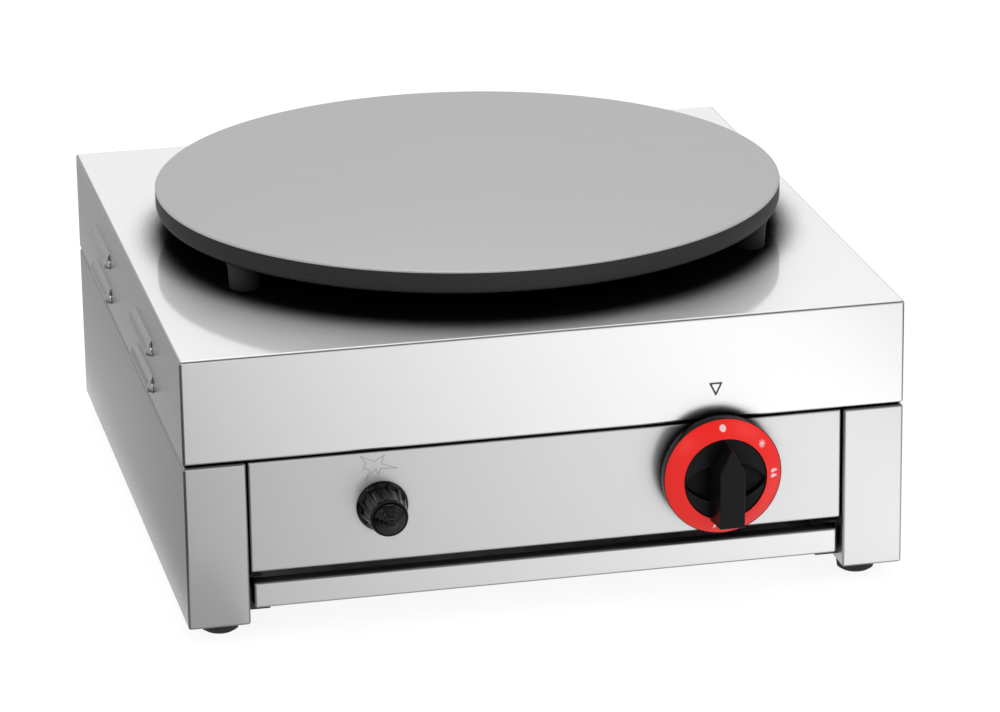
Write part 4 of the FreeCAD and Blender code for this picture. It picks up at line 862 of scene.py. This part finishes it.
@dataclass(frozen=True)
class Knob:
    """Black moulded knob with a dished hub, a pointed grip bar and a red dial ring with white signs."""

    x: float = 0.1053
    z: float = 0.0827
    back_y: float = -0.2296
    edge_y: float = -0.2366
    front_y: float = -0.2434
    hub_y: float = -0.2426
    grip_y: float = -0.2600
    skirt_radius: float = 0.0370
    dial_radius: float = 0.0366
    inner_radius: float = 0.0259
    wall: float = 0.0022
    scoop_depth: float = 0.0030
    scoop_radius: float = 0.0320
    scoop_offset: float = 0.0195
    scoop_drop: float = 0.0020
    grip_half: float = 0.0079
    grip_low: float = 0.0262
    shoulder: float = 0.0099
    tip: float = 0.0251
    grip_bend: float = -0.0035
    grip_slope: float = 0.0010
    draft: float = 0.0020
    dish: float = 0.0009
    bead: float = 0.00035
    bead_width: float = 0.0005
    edge_round: float = 0.0007
    scoop_blend: float = 0.0007
    rim_inset: float = 0.0009
    rim_blend: float = 0.0005
    hub_edge: float = 0.0006
    hub_lap: float = 0.003
    dial_seat: float = 0.0008
    dial_thick: float = 0.00076
    dial_gap: float = 0.00008
    dial_lip: float = 0.002
    ink: float = 0.00006
    off_radius: float = 0.0020
    off_place: tuple[float, float] = (0.03195, -1.7)
    spark_reach: float = 0.00205
    spark_rays: int = 8
    spark_place: tuple[float, float] = (0.03095, 49.7)
    large_flame: tuple[float, float] = (0.0017, 0.0024)
    large_places: tuple[tuple[float, float], ...] = ((0.0315, 86.1), (0.0313, 92.2))
    small_flame: tuple[float, float] = (0.0015, 0.0020)
    small_place: tuple[float, float] = (0.0312, 190.8)
    ray_half: float = 0.07
    ray_tip: float = 1.25
    ray_valley: float = 0.36

    def centre(self, y: float) -> Point:
        """The knob's axis at a depth."""
        return (self.x, y, self.z)

    def skirt_shape(self) -> Shape:
        """Hollow skirt and cone seat: from inside the hub out to the rim, and in to the dial's inner edge.

        Returns:
            Vertices and faces.
        """
        seat = self.back_y - self.edge_y
        line = [(self.inner_radius - self.hub_lap, self.back_y - self.hub_y - self.scoop_depth - self.wall),
                (self.skirt_radius - self.wall, seat - self.wall),
                (self.skirt_radius - self.wall, 0.0), (self.skirt_radius, 0.0), (self.skirt_radius, seat),
                (self.dial_radius, seat), (self.dial_radius, seat - self.dial_seat),
                (self.inner_radius, self.back_y - self.front_y - self.dial_seat),
                (self.inner_radius, self.back_y - self.front_y)]
        return turned(line, (0.00035, 4), 160, self.centre(self.back_y), FORWARD)

    def hub_shape(self) -> Shape:
        """The hub's face: a disc whose depth drops inside a lens, the overlap of two circles above and below.

        The drop is the scoop depth times a smooth step of the distance inside the nearer circle's edge.

        Returns:
            Vertices and faces.
        """
        ring = np.linspace(0.0, 1.0, 90)[:, None]
        angle = np.linspace(0.0, FULL_TURN, 240, endpoint=False)[None, :]
        x = ring * self.inner_radius * np.sin(angle)
        z = ring * self.inner_radius * np.cos(angle)
        low = np.hypot(x, z + self.scoop_drop + self.scoop_offset)
        high = np.hypot(x, z + self.scoop_drop - self.scoop_offset)
        inside = self.scoop_radius - np.maximum(low, high)
        step = np.clip(inside / self.scoop_blend + 0.5, 0.0, 1.0)
        rim = np.clip((self.inner_radius - self.rim_inset - np.hypot(x, z)) / self.rim_blend, 0.0, 1.0)
        drop = self.scoop_depth * step * step * (3 - 2 * step) * rim * rim * (3 - 2 * rim)
        edge = np.clip((np.hypot(x, z) - self.inner_radius + self.hub_edge) / self.hub_edge, 0.0, 1.0)
        dish = self.dish * step * (1.0 - (np.hypot(x, z) / self.inner_radius) ** 2)
        bead = self.bead * np.exp(-((inside + self.bead_width) / self.bead_width) ** 2) * rim
        y = self.hub_y + drop + dish - bead + self.hub_edge * edge ** 2
        return ring_mesh(np.stack([self.x + x, y, self.z + z], axis=-1))

    def grip_outline(self, grow: float, sink: float) -> np.ndarray:
        """The grip's house-shaped outline with rounded corners.

        Args:
            grow: how much wider it is on each side.
            sink: how much lower its shoulders and tip are.

        Returns:
            (x, z) points round the outline, from the middle of the lower edge.
        """
        wide = self.grip_half + grow
        corners = [(0.0, -self.grip_low), (wide, -self.grip_low), (wide, self.shoulder - sink),
                   (0.0, self.tip - sink), (-wide, self.shoulder - sink), (-wide, -self.grip_low),
                   (0.0, -self.grip_low)]
        line = rounded_profile(corners, self.edge_round, 5)
        ends = np.concatenate([[0.0], np.cumsum(np.linalg.norm(np.diff(line, axis=0), axis=1))])
        even = np.linspace(0.0, ends[-1], 160, endpoint=False)
        places = np.unique(np.concatenate([ends[:-1], even]))
        return np.stack([np.interp(places, ends, line[:, 0]), np.interp(places, ends, line[:, 1])], axis=-1)

    def grip_shape(self) -> Shape:
        """The grip bar: outlines lofted from hub to front, a rounded front edge, then rings to the middle.

        The front is flat above the bend and slopes back below it. A point's depth is the base plus its
        share of the way to that front.

        Returns:
            Vertices and faces.
        """
        base_y = self.hub_y + self.scoop_depth + 0.001
        outline = self.grip_outline(0.0, 0.0)
        across, up = outline[:, 0], outline[:, 1]
        taper = np.where(np.abs(across) > 1e-9,
                         np.sign(across) * np.minimum(np.abs(across) / self.grip_half, 1.0), 0.0)
        rise = np.clip((up - self.shoulder * 0.6) / (self.tip - self.shoulder * 0.6), 0.0, 1.0)
        rings = []
        bar_length = base_y - self.grip_y
        for share in np.linspace(0.0, 1.0, 14):
            open_by = self.draft * (1.0 - share)
            x, z = across + taper * open_by, up - rise * open_by
            rings.append(self.grip_ring(x, z, base_y, share * (1.0 - self.edge_round / bar_length)))
        for turn in np.linspace(0.0, math.pi / 2, 6)[1:]:
            shrink = self.edge_round * (1.0 - math.cos(turn))
            x = across * (1.0 - shrink / self.grip_half)
            z = up * (1.0 - shrink / self.tip)
            share = 1.0 - self.edge_round * (1.0 - math.sin(turn)) / bar_length
            rings.append(self.grip_ring(x, z, base_y, share))
        edge = 1.0 - self.edge_round / self.grip_half
        for inward in np.linspace(1.0, 0.0, 12)[1:]:
            z = up * (1.0 - self.edge_round / self.tip)
            rings.append(self.grip_ring(across * edge * inward, z, base_y, 1.0))
        return ring_mesh(np.stack(rings))

    def grip_ring(self, x: np.ndarray, z: np.ndarray, base_y: float, share: float) -> np.ndarray:
        """One ring of the grip at a share of the way from its base to its front.

        Args:
            x: distances across from the axis.
            z: heights from the axis.
            base_y: depth of the base.
            share: how far to the front.

        Returns:
            The ring's points.
        """
        below = np.clip((self.grip_bend - z) / (self.grip_low + self.grip_bend), 0.0, 1.0)
        front = self.grip_y + self.grip_slope * below
        return np.stack([self.x + x, base_y + share * (front - base_y), self.z + z], axis=-1)

    def dial_shape(self) -> Shape:
        """The red ring: a thin cone between the hub and the rim, closed on all sides.

        Returns:
            Vertices and faces.
        """
        height = self.back_y - self.edge_y
        front = self.back_y - self.front_y
        lip, inner = self.dial_radius - self.dial_lip, self.inner_radius + self.dial_gap
        line = [(lip, height - self.dial_thick), (self.dial_radius, height - self.dial_thick),
                (self.dial_radius, height), (inner, front), (inner, front - self.dial_thick),
                (lip, height - self.dial_thick)]
        return turned(line, (0.00015, 3), 200, self.centre(self.back_y), FORWARD)

    def on_cone(self, across: np.ndarray, out: np.ndarray, place: tuple[float, float],
                lift: float) -> np.ndarray:
        """Flat sign coordinates laid on the dial's cone.

        Args:
            across: distance along the ring, in metres.
            out: distance outwards from the sign's middle, in metres.
            place: the sign's radius, and its clock angle in degrees from the top as seen from the front.
            lift: how far it stands off the cone.

        Returns:
            The points.
        """
        middle, clock = place
        radius = middle + out
        angle = math.radians(clock) + across / middle
        slope = (self.edge_y - self.front_y) / (self.dial_radius - self.inner_radius)
        y = self.front_y + (radius - self.inner_radius) * slope - lift
        return np.stack([self.x + radius * np.sin(angle), y, self.z + radius * np.cos(angle)], axis=-1)

    def sign(self, outline: np.ndarray, place: tuple[float, float]) -> Shape:
        """A raised ink sign: rings from its outline on the cone, up by the ink and in to its middle.

        Args:
            outline: (across, out) points round the sign.
            place: its radius on the dial and its clock angle in degrees.

        Returns:
            Vertices and faces.
        """
        middle = outline.mean(axis=0)
        steps = ((1.0, 0.0), (1.0, self.ink), (0.66, self.ink), (0.33, self.ink), (0.0, self.ink))
        rings = [self.on_cone(middle[0] + (outline[:, 0] - middle[0]) * share,
                              middle[1] + (outline[:, 1] - middle[1]) * share, place, lift)
                 for share, lift in steps]
        return ring_mesh(np.stack(rings))

    def signs(self) -> Shape:
        """All white signs: a dot for off, a spark, a double flame for high and a single flame for low.

        Returns:
            Vertices and faces.
        """
        turn = np.linspace(0.0, FULL_TURN, 48, endpoint=False)
        dot = self.off_radius * np.stack([np.sin(turn), np.cos(turn)], axis=-1)
        large, small = self.flame(*self.large_flame), self.flame(*self.small_flame)
        return joined([self.sign(dot, self.off_place), self.sign(self.star(), self.spark_place)]
                      + [self.sign(large, place) for place in self.large_places]
                      + [self.sign(small, self.small_place)])

    def star(self) -> np.ndarray:
        """A star of thin rays: two points at each ray's tip and one in each valley.

        Returns:
            (across, out) points.
        """
        step = FULL_TURN / self.spark_rays
        points = np.array([-self.ray_half, self.ray_half, step / 2])
        turn = (np.arange(self.spark_rays)[:, None] * step + points).ravel()
        tip = self.spark_reach * self.ray_tip
        radius = np.tile([tip, tip, self.spark_reach * self.ray_valley], self.spark_rays)
        return np.stack([radius * np.sin(turn), radius * np.cos(turn)], axis=-1)

    def flame(self, wide: float, tall: float) -> np.ndarray:
        """A flame's outline: a drop whose width fades to a curled tip.

        Args:
            wide: half its width.
            tall: half its height.

        Returns:
            (across, out) points.
        """
        turn = np.linspace(0.0, FULL_TURN, 48, endpoint=False)
        up = -np.cos(turn)
        fade = (1.0 - up) / 2.0
        across = wide * np.sin(turn) * (0.25 + 0.75 * fade) + 0.35 * wide * np.clip(up, 0.0, 1.0) ** 2
        return np.stack([across, tall * up], axis=-1)

    def build(self, shelf: FinishShelf) -> None:
        """Make the knob's pieces.

        Args:
            shelf: the finishes.
        """
        moulding = joined([self.skirt_shape(), self.hub_shape(), self.grip_shape()])
        Piece("knob_moulding", Body.KNOB, "black_knob", 28.0).make(moulding, [shelf.get("knob_black")],
                                                                   ("knob_grip",))
        Piece("knob_dial_ring", Body.KNOB, "red_dial").make(self.dial_shape(), [shelf.get("dial_red")],
                                                            ("knob_dial",))
        Piece("knob_dial_signs", Body.KNOB, "red_dial").make(self.signs(), [shelf.get("dial_white")])


@dataclass(frozen=True)
class Igniter:
    """Piezo igniter: a ridged nut on a thin glossy flange, and a stepped push button."""

    x: float = -0.1031
    z: float = 0.0781
    panel_y: float = -0.2220
    flange_radius: float = 0.0158
    rim_radius: float = 0.0118
    rim_out: float = 0.0225
    tip_out: float = 0.0320
    button_radius: float = 0.0097
    bore: float = 0.01105
    ridges: int = 12
    segments: int = 288

    def base(self) -> Point:
        """The igniter's axis at the panel."""
        return (self.x, self.panel_y, self.z)

    def nut_shape(self) -> Shape:
        """The nut: a turned profile whose radius swells under each ridge.

        The swell is the ridge height at that level times a flat-topped wave round the nut.

        Returns:
            Vertices and faces.
        """
        rim = self.rim_out
        line = [(self.bore, 0.0), (self.flange_radius, 0.0), (self.flange_radius, 0.0009),
                (self.flange_radius - 0.0009, 0.0016), (0.0128, 0.0022), (0.0112, rim - 0.0045),
                (0.0114, rim - 0.0024), (self.rim_radius, rim - 0.0014),
                (self.rim_radius - 0.0004, rim), (self.button_radius + 0.0003, rim),
                (self.button_radius + 0.0003, 0.0060), (self.bore, 0.0060), (self.bore, 0.0)]
        profile = rounded_profile(line, 0.0003, 4)
        points = turned_points(profile, self.segments, self.base(), FORWARD)
        centre = np.asarray(self.base())
        angle = np.linspace(0.0, FULL_TURN, self.segments, endpoint=False)
        wave = np.clip((np.cos(angle * self.ridges) - 0.2) * 4.0, 0.0, 1.0)
        height = profile[:, 1]
        outside = (profile[:, 0] > self.button_radius + 0.0008).astype(float)
        level = np.interp(height, [0.0019, 0.0022, 0.0036, rim - 0.0036, rim - 0.0029],
                          [0.0, 0.0016, 0.0011, 0.0005, 0.0]) * outside
        swell = level[:, None] * wave[None, :]
        radial = points - centre
        radial[..., 1] = 0.0
        radial /= np.maximum(np.linalg.norm(radial, axis=-1, keepdims=True), 1e-9)
        return ring_mesh(points + radial * swell[..., None])

    def button_shape(self) -> Shape:
        """The button: stem, body and a dome of three rounded steps.

        Returns:
            Vertices and faces.
        """
        rim, tip = self.rim_out, self.tip_out
        line = [(0.0, -0.022), (0.004, -0.022), (0.004, 0.012), (self.button_radius, 0.012),
                (self.button_radius, rim + 0.0010), (0.0089, rim + 0.0022), (0.0074, rim + 0.0028),
                (0.0070, rim + 0.0045), (0.0053, rim + 0.0051), (0.0047, rim + 0.0068),
                (0.0032, rim + 0.0074), (0.0026, rim + 0.0088), (0.0014, tip), (0.0, tip)]
        return turned(line, (0.0005, 5), 120, self.base(), FORWARD)

    def build(self, shelf: FinishShelf) -> None:
        """Make the nut and the button.

        Args:
            shelf: the finishes.
        """
        gloss = shelf.get("gloss_black")
        nut = Piece("igniter_ridged_nut", Body.CABINET, "black_gloss", 40.0)
        nut.make(self.nut_shape(), [gloss], ("igniter_nut",))
        button = Piece("igniter_push_button", Body.IGNITER_BUTTON, "black_gloss", 40.0)
        button.make(self.button_shape(), [gloss], ("igniter_button",))


@dataclass(frozen=True)
class PanelMarks:
    """Generic marks on the front: a pointer above the knob and a faint spark above the igniter."""

    hood_y: float = -0.2240
    panel_y: float = -0.2220
    pointer_x: float = 0.1042
    pointer_low: float = 0.1298
    pointer_high: float = 0.1388
    pointer_half: float = 0.0044
    line: float = 0.00115
    spark_middle: tuple[float, float] = (-0.1068, 0.1040)
    spark_line: float = 0.00035
    spark_points: tuple[tuple[float, float], ...] = (
        (-0.1165, 0.1115), (-0.1074, 0.1071), (-0.1007, 0.1110), (-0.1030, 0.1053), (-0.0925, 0.1014),
        (-0.1035, 0.1020), (-0.1051, 0.0981), (-0.1065, 0.1020), (-0.1133, 0.0952), (-0.1103, 0.1015),
        (-0.1146, 0.1035), (-0.1126, 0.1063))
    ink: float = 0.00005

    def outline_ring(self, outer: np.ndarray, inner: np.ndarray, y: float) -> Shape:
        """A closed flat line with a little thickness, between an outer and an inner outline.

        Args:
            outer: (x, z) points.
            inner: as many (x, z) points inside them.
            y: the face it lies on.

        Returns:
            Vertices and faces.
        """
        front = y - self.ink
        layers = ((outer, y), (outer, front), (inner, front), (inner, y))
        rings = [np.stack([points[:, 0], np.full(len(points), depth), points[:, 1]], axis=-1)
                 for points, depth in layers]
        return ring_mesh(np.stack(rings))

    def pointer(self) -> Shape:
        """A triangle's outline that points down at the dial.

        Returns:
            Vertices and faces.
        """
        half, deep = self.pointer_half, self.pointer_high - self.pointer_low
        inradius = half * deep / (half + math.hypot(half, deep))
        corners = [(self.pointer_x, self.pointer_high), (self.pointer_x + half, self.pointer_high),
                   (self.pointer_x, self.pointer_low), (self.pointer_x - half, self.pointer_high),
                   (self.pointer_x, self.pointer_high)]
        outer = rounded_profile(corners, 0.0008, 5)[:-1]
        middle = np.array([self.pointer_x, self.pointer_high - inradius])
        inner = middle + (outer - middle) * (1.0 - self.line / inradius)
        return self.outline_ring(outer, inner, self.hood_y)

    def spark(self) -> Shape:
        """A spark's outline: six uneven tips with valleys between them, drawn as one thin line.

        Returns:
            Vertices and faces.
        """
        middle = np.array(self.spark_middle)
        outer = np.array(self.spark_points)
        before, after = np.roll(outer, 1, axis=0) - outer, np.roll(outer, -1, axis=0) - outer
        before /= np.linalg.norm(before, axis=1, keepdims=True)
        after /= np.linalg.norm(after, axis=1, keepdims=True)
        across = (before[:, 0] * after[:, 1] - before[:, 1] * after[:, 0])[:, None]
        reach = self.spark_line / np.maximum(np.abs(across), 0.25)
        step = (before + after) * reach * np.sign(across)
        inner = outer + np.where(np.sum(step * (middle - outer), axis=1, keepdims=True) > 0, step, -step)
        return self.outline_ring(outer, inner, self.panel_y)

    def build(self, shelf: FinishShelf) -> None:
        """Make both marks.

        Args:
            shelf: the finishes.
        """
        pointer = Piece("hood_pointer_mark", Body.CABINET, "black_gloss")
        pointer.make(self.pointer(), [shelf.get("marker_ink")])
        spark = Piece("panel_spark_mark", Body.CABINET, "stainless_brushed")
        spark.make(self.spark(), [shelf.get("etched")])


@dataclass(frozen=True)
class GasInlet:
    """Half-inch threaded gas inlet behind the cabinet, with its hexagon and a real helical thread."""

    x: float = 0.1630
    z: float = 0.0827
    inside_y: float = 0.2016
    face_y: float = 0.2228
    end_y: float = 0.2640
    thread_radius: float = 0.0104775
    thread_length: float = 0.0180
    pitch: float = 0.001814
    thread_depth: float = 0.00116
    neck_radius: float = 0.0090
    bore: float = 0.0060
    across_flats: float = 0.0270
    hex_height: float = 0.0110
    hex_corner: float = 0.0007
    segments: int = 72

    def body_shape(self) -> Shape:
        """Plain shank, neck and bore as one turned profile.

        Returns:
            Vertices and faces.
        """
        length = self.end_y - self.inside_y
        hex_end = self.face_y - self.inside_y + self.hex_height
        thread_start = length - self.thread_length
        line = [(self.bore, 0.0), (self.thread_radius - 0.0006, 0.0), (self.thread_radius, 0.0006),
                (self.thread_radius, hex_end), (self.neck_radius, hex_end), (self.neck_radius, thread_start),
                (self.neck_radius, length), (self.bore, length), (self.bore, 0.0)]
        return turned(line, (0.0003, 3), self.segments, (self.x, self.inside_y, self.z), BACKWARD)

    def thread_shape(self) -> Shape:
        """The thread: radius as a rounded wave of the height plus the angle, faded out at both ends.

        Returns:
            Vertices and faces.
        """
        height = np.linspace(0.0, self.thread_length, 160)
        angle = np.linspace(0.0, FULL_TURN, self.segments, endpoint=False)
        phase = height[:, None] / self.pitch + angle[None, :] / FULL_TURN
        wave = 0.5 + 0.5 * np.cos(FULL_TURN * phase)
        fade = np.clip(np.minimum(height, self.thread_length - height) / self.pitch, 0.0, 1.0)[:, None]
        radius = self.thread_radius - self.thread_depth + self.thread_depth * wave * fade
        along = np.broadcast_to(self.end_y - self.thread_length + height[:, None], radius.shape)
        points = np.stack([self.x + radius * np.cos(angle), along, self.z + radius * np.sin(angle)], axis=-1)
        first, last = points[:1].copy(), points[-1:].copy()
        for ring in (first, last):
            ring[..., 0] = self.x + (ring[..., 0] - self.x) * 0.8
            ring[..., 2] = self.z + (ring[..., 2] - self.z) * 0.8
        return ring_mesh(np.concatenate([first, points, last]))

    def hexagon_shape(self) -> Shape:
        """The hexagon: a ring's radius is the flats' distance over a cosine, cut to a circle at the ends.

        Returns:
            Vertices and faces.
        """
        angle = np.linspace(0.0, FULL_TURN, 144, endpoint=False)
        flat = self.across_flats / 2
        hexagon = flat / np.cos((angle + math.pi / 6) % (math.pi / 3) - math.pi / 6)
        rings = []
        for level, limit in ((0.0, self.neck_radius), (0.0, flat), (self.hex_corner, flat * 1.155),
                             (self.hex_height - self.hex_corner, flat * 1.155), (self.hex_height, flat),
                             (self.hex_height, self.neck_radius)):
            radius = np.minimum(hexagon, limit)
            rings.append(np.stack([self.x + radius * np.cos(angle), np.full(len(angle), self.face_y + level),
                                   self.z + radius * np.sin(angle)], axis=-1))
        return ring_mesh(np.stack(rings))

    def build(self, shelf: FinishShelf) -> None:
        """Make the inlet.

        Args:
            shelf: the finishes.
        """
        shape = joined([self.body_shape(), self.thread_shape(), self.hexagon_shape()])
        nipple = Piece("gas_inlet_nipple", Body.CABINET, "brass", 30.0)
        nipple.make(shape, [shelf.get("brass")], ("inlet_nipple",))


@dataclass(frozen=True)
class RearScrews:
    """Pan-head screws with a cross recess that hold the rear panel."""

    x: float = 0.2095
    heights: tuple[float, ...] = (0.040, 0.098)
    face_y: float = 0.2240
    shank_end: float = 0.2168
    head_radius: float = 0.0038
    head_height: float = 0.0022
    shank_radius: float = 0.0020
    recess: float = 0.0012
    arm_half: float = 0.00045
    arm_reach: float = 0.0021
    arm_blend: float = 0.0001
    segments: int = 96

    def screw_shape(self, x: float, z: float) -> Shape:
        """One screw: shank, then a domed head whose height drops inside two crossed bars.

        Args:
            x: place across.
            z: height.

        Returns:
            Vertices and faces.
        """
        angle = np.linspace(0.0, FULL_TURN, self.segments, endpoint=False)[None, :]
        share = np.linspace(1.0, 0.0, 26)[:, None]
        across = share * self.head_radius * np.cos(angle)
        up = share * self.head_radius * np.sin(angle)
        dome = self.head_height * np.sqrt(np.clip(1.0 - share ** 4, 0.0, 1.0)) * np.ones_like(angle)
        bar = np.minimum(np.abs(across), np.abs(up))
        reach = np.maximum(np.abs(across), np.abs(up))
        cut = (np.clip((self.arm_half - bar) / self.arm_blend + 0.5, 0.0, 1.0)
               * np.clip((self.arm_reach - reach) / self.arm_blend + 0.5, 0.0, 1.0))
        head = np.stack([x + across, self.face_y + dome - self.recess * cut, z + up], axis=-1)
        shank = []
        for radius, y in ((0.0, self.shank_end), (self.shank_radius - 0.0004, self.shank_end),
                          (self.shank_radius, self.shank_end + 0.0004), (self.shank_radius, self.face_y)):
            shank.append(np.stack([x + radius * np.cos(angle[0]), np.full(self.segments, y),
                                   z + radius * np.sin(angle[0])], axis=-1))
        return ring_mesh(np.concatenate([np.stack(shank), head]))

    def build(self, shelf: FinishShelf) -> None:
        """Make the four screws as one piece.

        Args:
            shelf: the finishes.
        """
        shapes = [self.screw_shape(side * self.x, z) for side in (-1, 1) for z in self.heights]
        screws = Piece("rear_cross_screws", Body.CABINET, "zinc_fasteners", 35.0)
        screws.make(joined(shapes), [shelf.get("zinc")], ("rear_panel_screws",))


# Studio


@dataclass(frozen=True)
class Card:
    """A card that only reflections see: a flat sheet whose brightness runs from one end to the other."""

    name: str
    low: Point
    high: Point
    low_level: float
    high_level: float
    along: Along = Along.X

    def build(self) -> None:
        """Make the card."""
        (x0, y0, z0), (x1, y1, z1) = self.low, self.high
        mesh = bpy.data.meshes.new(self.name)
        mesh.from_pydata([(x0, y0, z0), (x1, y0, z0), (x1, y1, z1), (x0, y1, z1)], [], [(0, 1, 2, 3)])
        card = placed(self.name, mesh)
        material, sheet = blank_material(self.name)
        sheet.tree.nodes.remove(sheet.tree.nodes["Principled BSDF"])
        place = sheet.add("SeparateXYZ", Vector=sheet.add("TexCoord").outputs["Object"])
        ends = (x0, x1) if self.along is Along.X else (y0, y1)
        level = sheet.remap(place.outputs[self.along.value], ends, self.low_level, self.high_level)
        sheet.show(sheet.add("Emission", Color=WHITE, Strength=level).outputs[0])
        mesh.materials.append(material)
        card.visible_camera = False
        card.visible_diffuse = False
        card.visible_shadow = False
        card.visible_transmission = False


@dataclass(frozen=True)
class Lamp:
    """A soft area lamp."""

    name: str
    place: Point
    aim: Point
    size: float
    power: float

    def build(self) -> None:
        """Make the lamp, turned at what it lights."""
        data = bpy.data.lights.new(self.name, "AREA")
        data.shape = "SQUARE"
        data.size = self.size
        data.energy = self.power
        lamp = placed(self.name, data)
        lamp.location = self.place
        lamp.rotation_euler = (Vector(self.aim) - Vector(self.place)).to_track_quat("-Z", "Y").to_euler()


# Lamps: one soft above and behind, one to the right of the camera, a small one for glints at the left
LAMPS = (
    Lamp("lamp_above", (0.2, 0.25, 1.9), (0.0, 0.0, 0.1), 1.6, 14.0),
    Lamp("lamp_right", (1.5, -1.4, 1.3), (0.0, 0.0, 0.1), 1.0, 5.0),
    Lamp("lamp_glint", (-1.0, -1.7, 0.95), (0.0, -0.2, 0.1), 0.20, 2.4),
)

# Cards that grade the steel: brighter to the right, dark at the left corner and far right
CARDS = (
    Card("card_front", (-0.30, -1.40, 0.001), (0.28, -0.232, 0.001), 0.44, 1.40),
    Card("card_front_right", (0.28, -1.40, 0.001), (0.60, -0.232, 0.001), 1.38, 0.55),
    Card("card_corner", (-1.20, -0.80, 0.0012), (-0.225, -0.215, 0.0012), 0.02, 0.02),
    Card("card_foot", (-0.30, -0.35, 0.0014), (-0.185, -0.226, 0.0014), 0.42, 0.42),
    Card("card_left", (-0.28, -0.215, 0.001), (-0.236, 0.20, 0.001), 0.22, 0.52, Along.Y),
    Card("card_left_back", (-0.28, 0.20, 0.001), (-0.236, 1.20, 0.001), 0.52, 0.52, Along.Y),
    Card("card_far_left", (-1.20, -0.215, 0.001), (-0.28, 1.20, 0.001), 0.26, 0.36, Along.Y),
    Card("card_right", (0.60, -1.40, 0.001), (1.60, 0.60, 0.001), 0.30, 0.10),
)


@dataclass(frozen=True)
class Studio:
    """White studio: floor, world, three lamps, reflection cards and the photograph's camera."""

    floor_half: float = 8.0
    floor_white: float = 0.86
    floor_rough: float = 0.9
    floor_glow: float = 1.12
    floor_seen: float = 0.80
    floor_mirrored: float = 0.55
    world_level: float = 0.72
    low_front_level: float = 0.85
    high_front_level: float = 0.12
    front_heights: tuple[float, float] = (0.40, 0.65)
    front_edge: tuple[float, float] = (-0.25, 0.15)
    camera_place: Point = (-0.596, -2.788, 1.072)
    azimuth: float = 12.456
    elevation: float = 19.004
    roll: float = -0.817
    lens: float = 166.998
    sensor: float = 36.0
    clip_end: float = 60.0

    def floor(self) -> None:
        """A pale floor that looks white to the camera and in reflections, and keeps a light shadow."""
        half = self.floor_half
        mesh = bpy.data.meshes.new("studio_floor")
        corners = [(-half, -half, 0), (half, -half, 0), (half, half, 0), (-half, half, 0)]
        mesh.from_pydata(corners, [], [(0, 1, 2, 3)])
        floor = placed("studio_floor", mesh)
        material, sheet = blank_material("studio_floor_paper")
        shader = sheet.tree.nodes["Principled BSDF"]
        shader.inputs["Base Color"].default_value = colour4((self.floor_white,) * 3)
        shader.inputs["Roughness"].default_value = self.floor_rough
        shader.inputs["Specular IOR Level"].default_value = 0.0
        light = sheet.add("LightPath")
        seen = sheet.math("ADD", sheet.math("MULTIPLY", light.outputs["Is Camera Ray"], self.floor_seen),
                          sheet.math("MULTIPLY", light.outputs["Is Glossy Ray"], self.floor_mirrored))
        glow = sheet.add("Emission", Color=WHITE, Strength=self.floor_glow)
        sheet.show(sheet.mix_shader(seen, shader.outputs[0], glow.outputs[0]))
        mesh.materials.append(material)

    def world(self) -> None:
        """White to the camera, a plain grey as light, and dark high in front for reflections only."""
        world = bpy.data.worlds.new("studio_world")
        bpy.context.scene.world = world
        world.use_nodes = True
        sheet = Sheet(world.node_tree)
        light = sheet.add("LightPath")
        way = sheet.add("SeparateXYZ", Vector=sheet.add("TexCoord").outputs["Generated"])
        front = sheet.remap(way.outputs["Z"], self.front_heights, self.low_front_level, self.high_front_level)
        behind = sheet.remap(way.outputs["Y"], self.front_edge, 0.0, 1.0)
        ahead = sheet.math("MULTIPLY", front, sheet.math("SUBTRACT", 1.0, behind))
        behind = sheet.math("ADD", behind, ahead)
        glossy = sheet.math("MULTIPLY", light.outputs["Is Glossy Ray"], behind)
        plain = sheet.math("MULTIPLY", light.outputs["Is Diffuse Ray"], self.world_level)
        white = sheet.math("MAXIMUM", light.outputs["Is Camera Ray"], light.outputs["Is Transmission Ray"])
        background = world.node_tree.nodes["Background"]
        background.inputs["Color"].default_value = WHITE
        sheet.feed(background, "Strength", sheet.math("ADD", sheet.math("ADD", glossy, plain), white))

    def camera(self) -> None:
        """The camera that fits the photograph: place, azimuth, elevation and a small roll."""
        turn, rise, roll = (math.radians(v) for v in (self.azimuth, self.elevation, self.roll))
        ahead = Vector((math.sin(turn) * math.cos(rise), math.cos(turn) * math.cos(rise), -math.sin(rise)))
        level = Vector((math.cos(turn), -math.sin(turn), 0.0))
        upright = level.cross(ahead)
        right = level * math.cos(roll) + upright * math.sin(roll)
        up = upright * math.cos(roll) - level * math.sin(roll)
        data = bpy.data.cameras.new("photo_camera")
        data.lens = self.lens
        data.sensor_width = self.sensor
        data.clip_end = self.clip_end
        camera = placed("photo_camera", data)
        camera.matrix_world = (Matrix.Translation(self.camera_place)
                               @ Matrix((right, up, -ahead)).transposed().to_4x4())
        bpy.context.scene.camera = camera

    def build(self) -> None:
        """Make the whole studio."""
        bpy.context.scene.view_settings.view_transform = "Standard"
        self.floor()
        self.world()
        for item in LAMPS + CARDS:
            item.build()
        self.camera()
        LOG.info("studio ready")


def main() -> None:
    """Build the dressed part and its studio, in order."""
    logging.basicConfig(level=logging.INFO, format="%(name)s: %(message)s")
    for leftover in list(bpy.data.objects):
        bpy.data.objects.remove(leftover)
    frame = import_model()
    shelf = FinishShelf()
    Studio().build()
    for dress in CAD_DRESS:
        dress.put_on(frame["nodes"], shelf)
    for part in (CrepePlate(), Knob(), Igniter(), PanelMarks(), GasInlet(), RearScrews()):
        part.build(shelf)
        LOG.info("%s done", type(part).__name__)


if __name__ == "__main__":
    main()
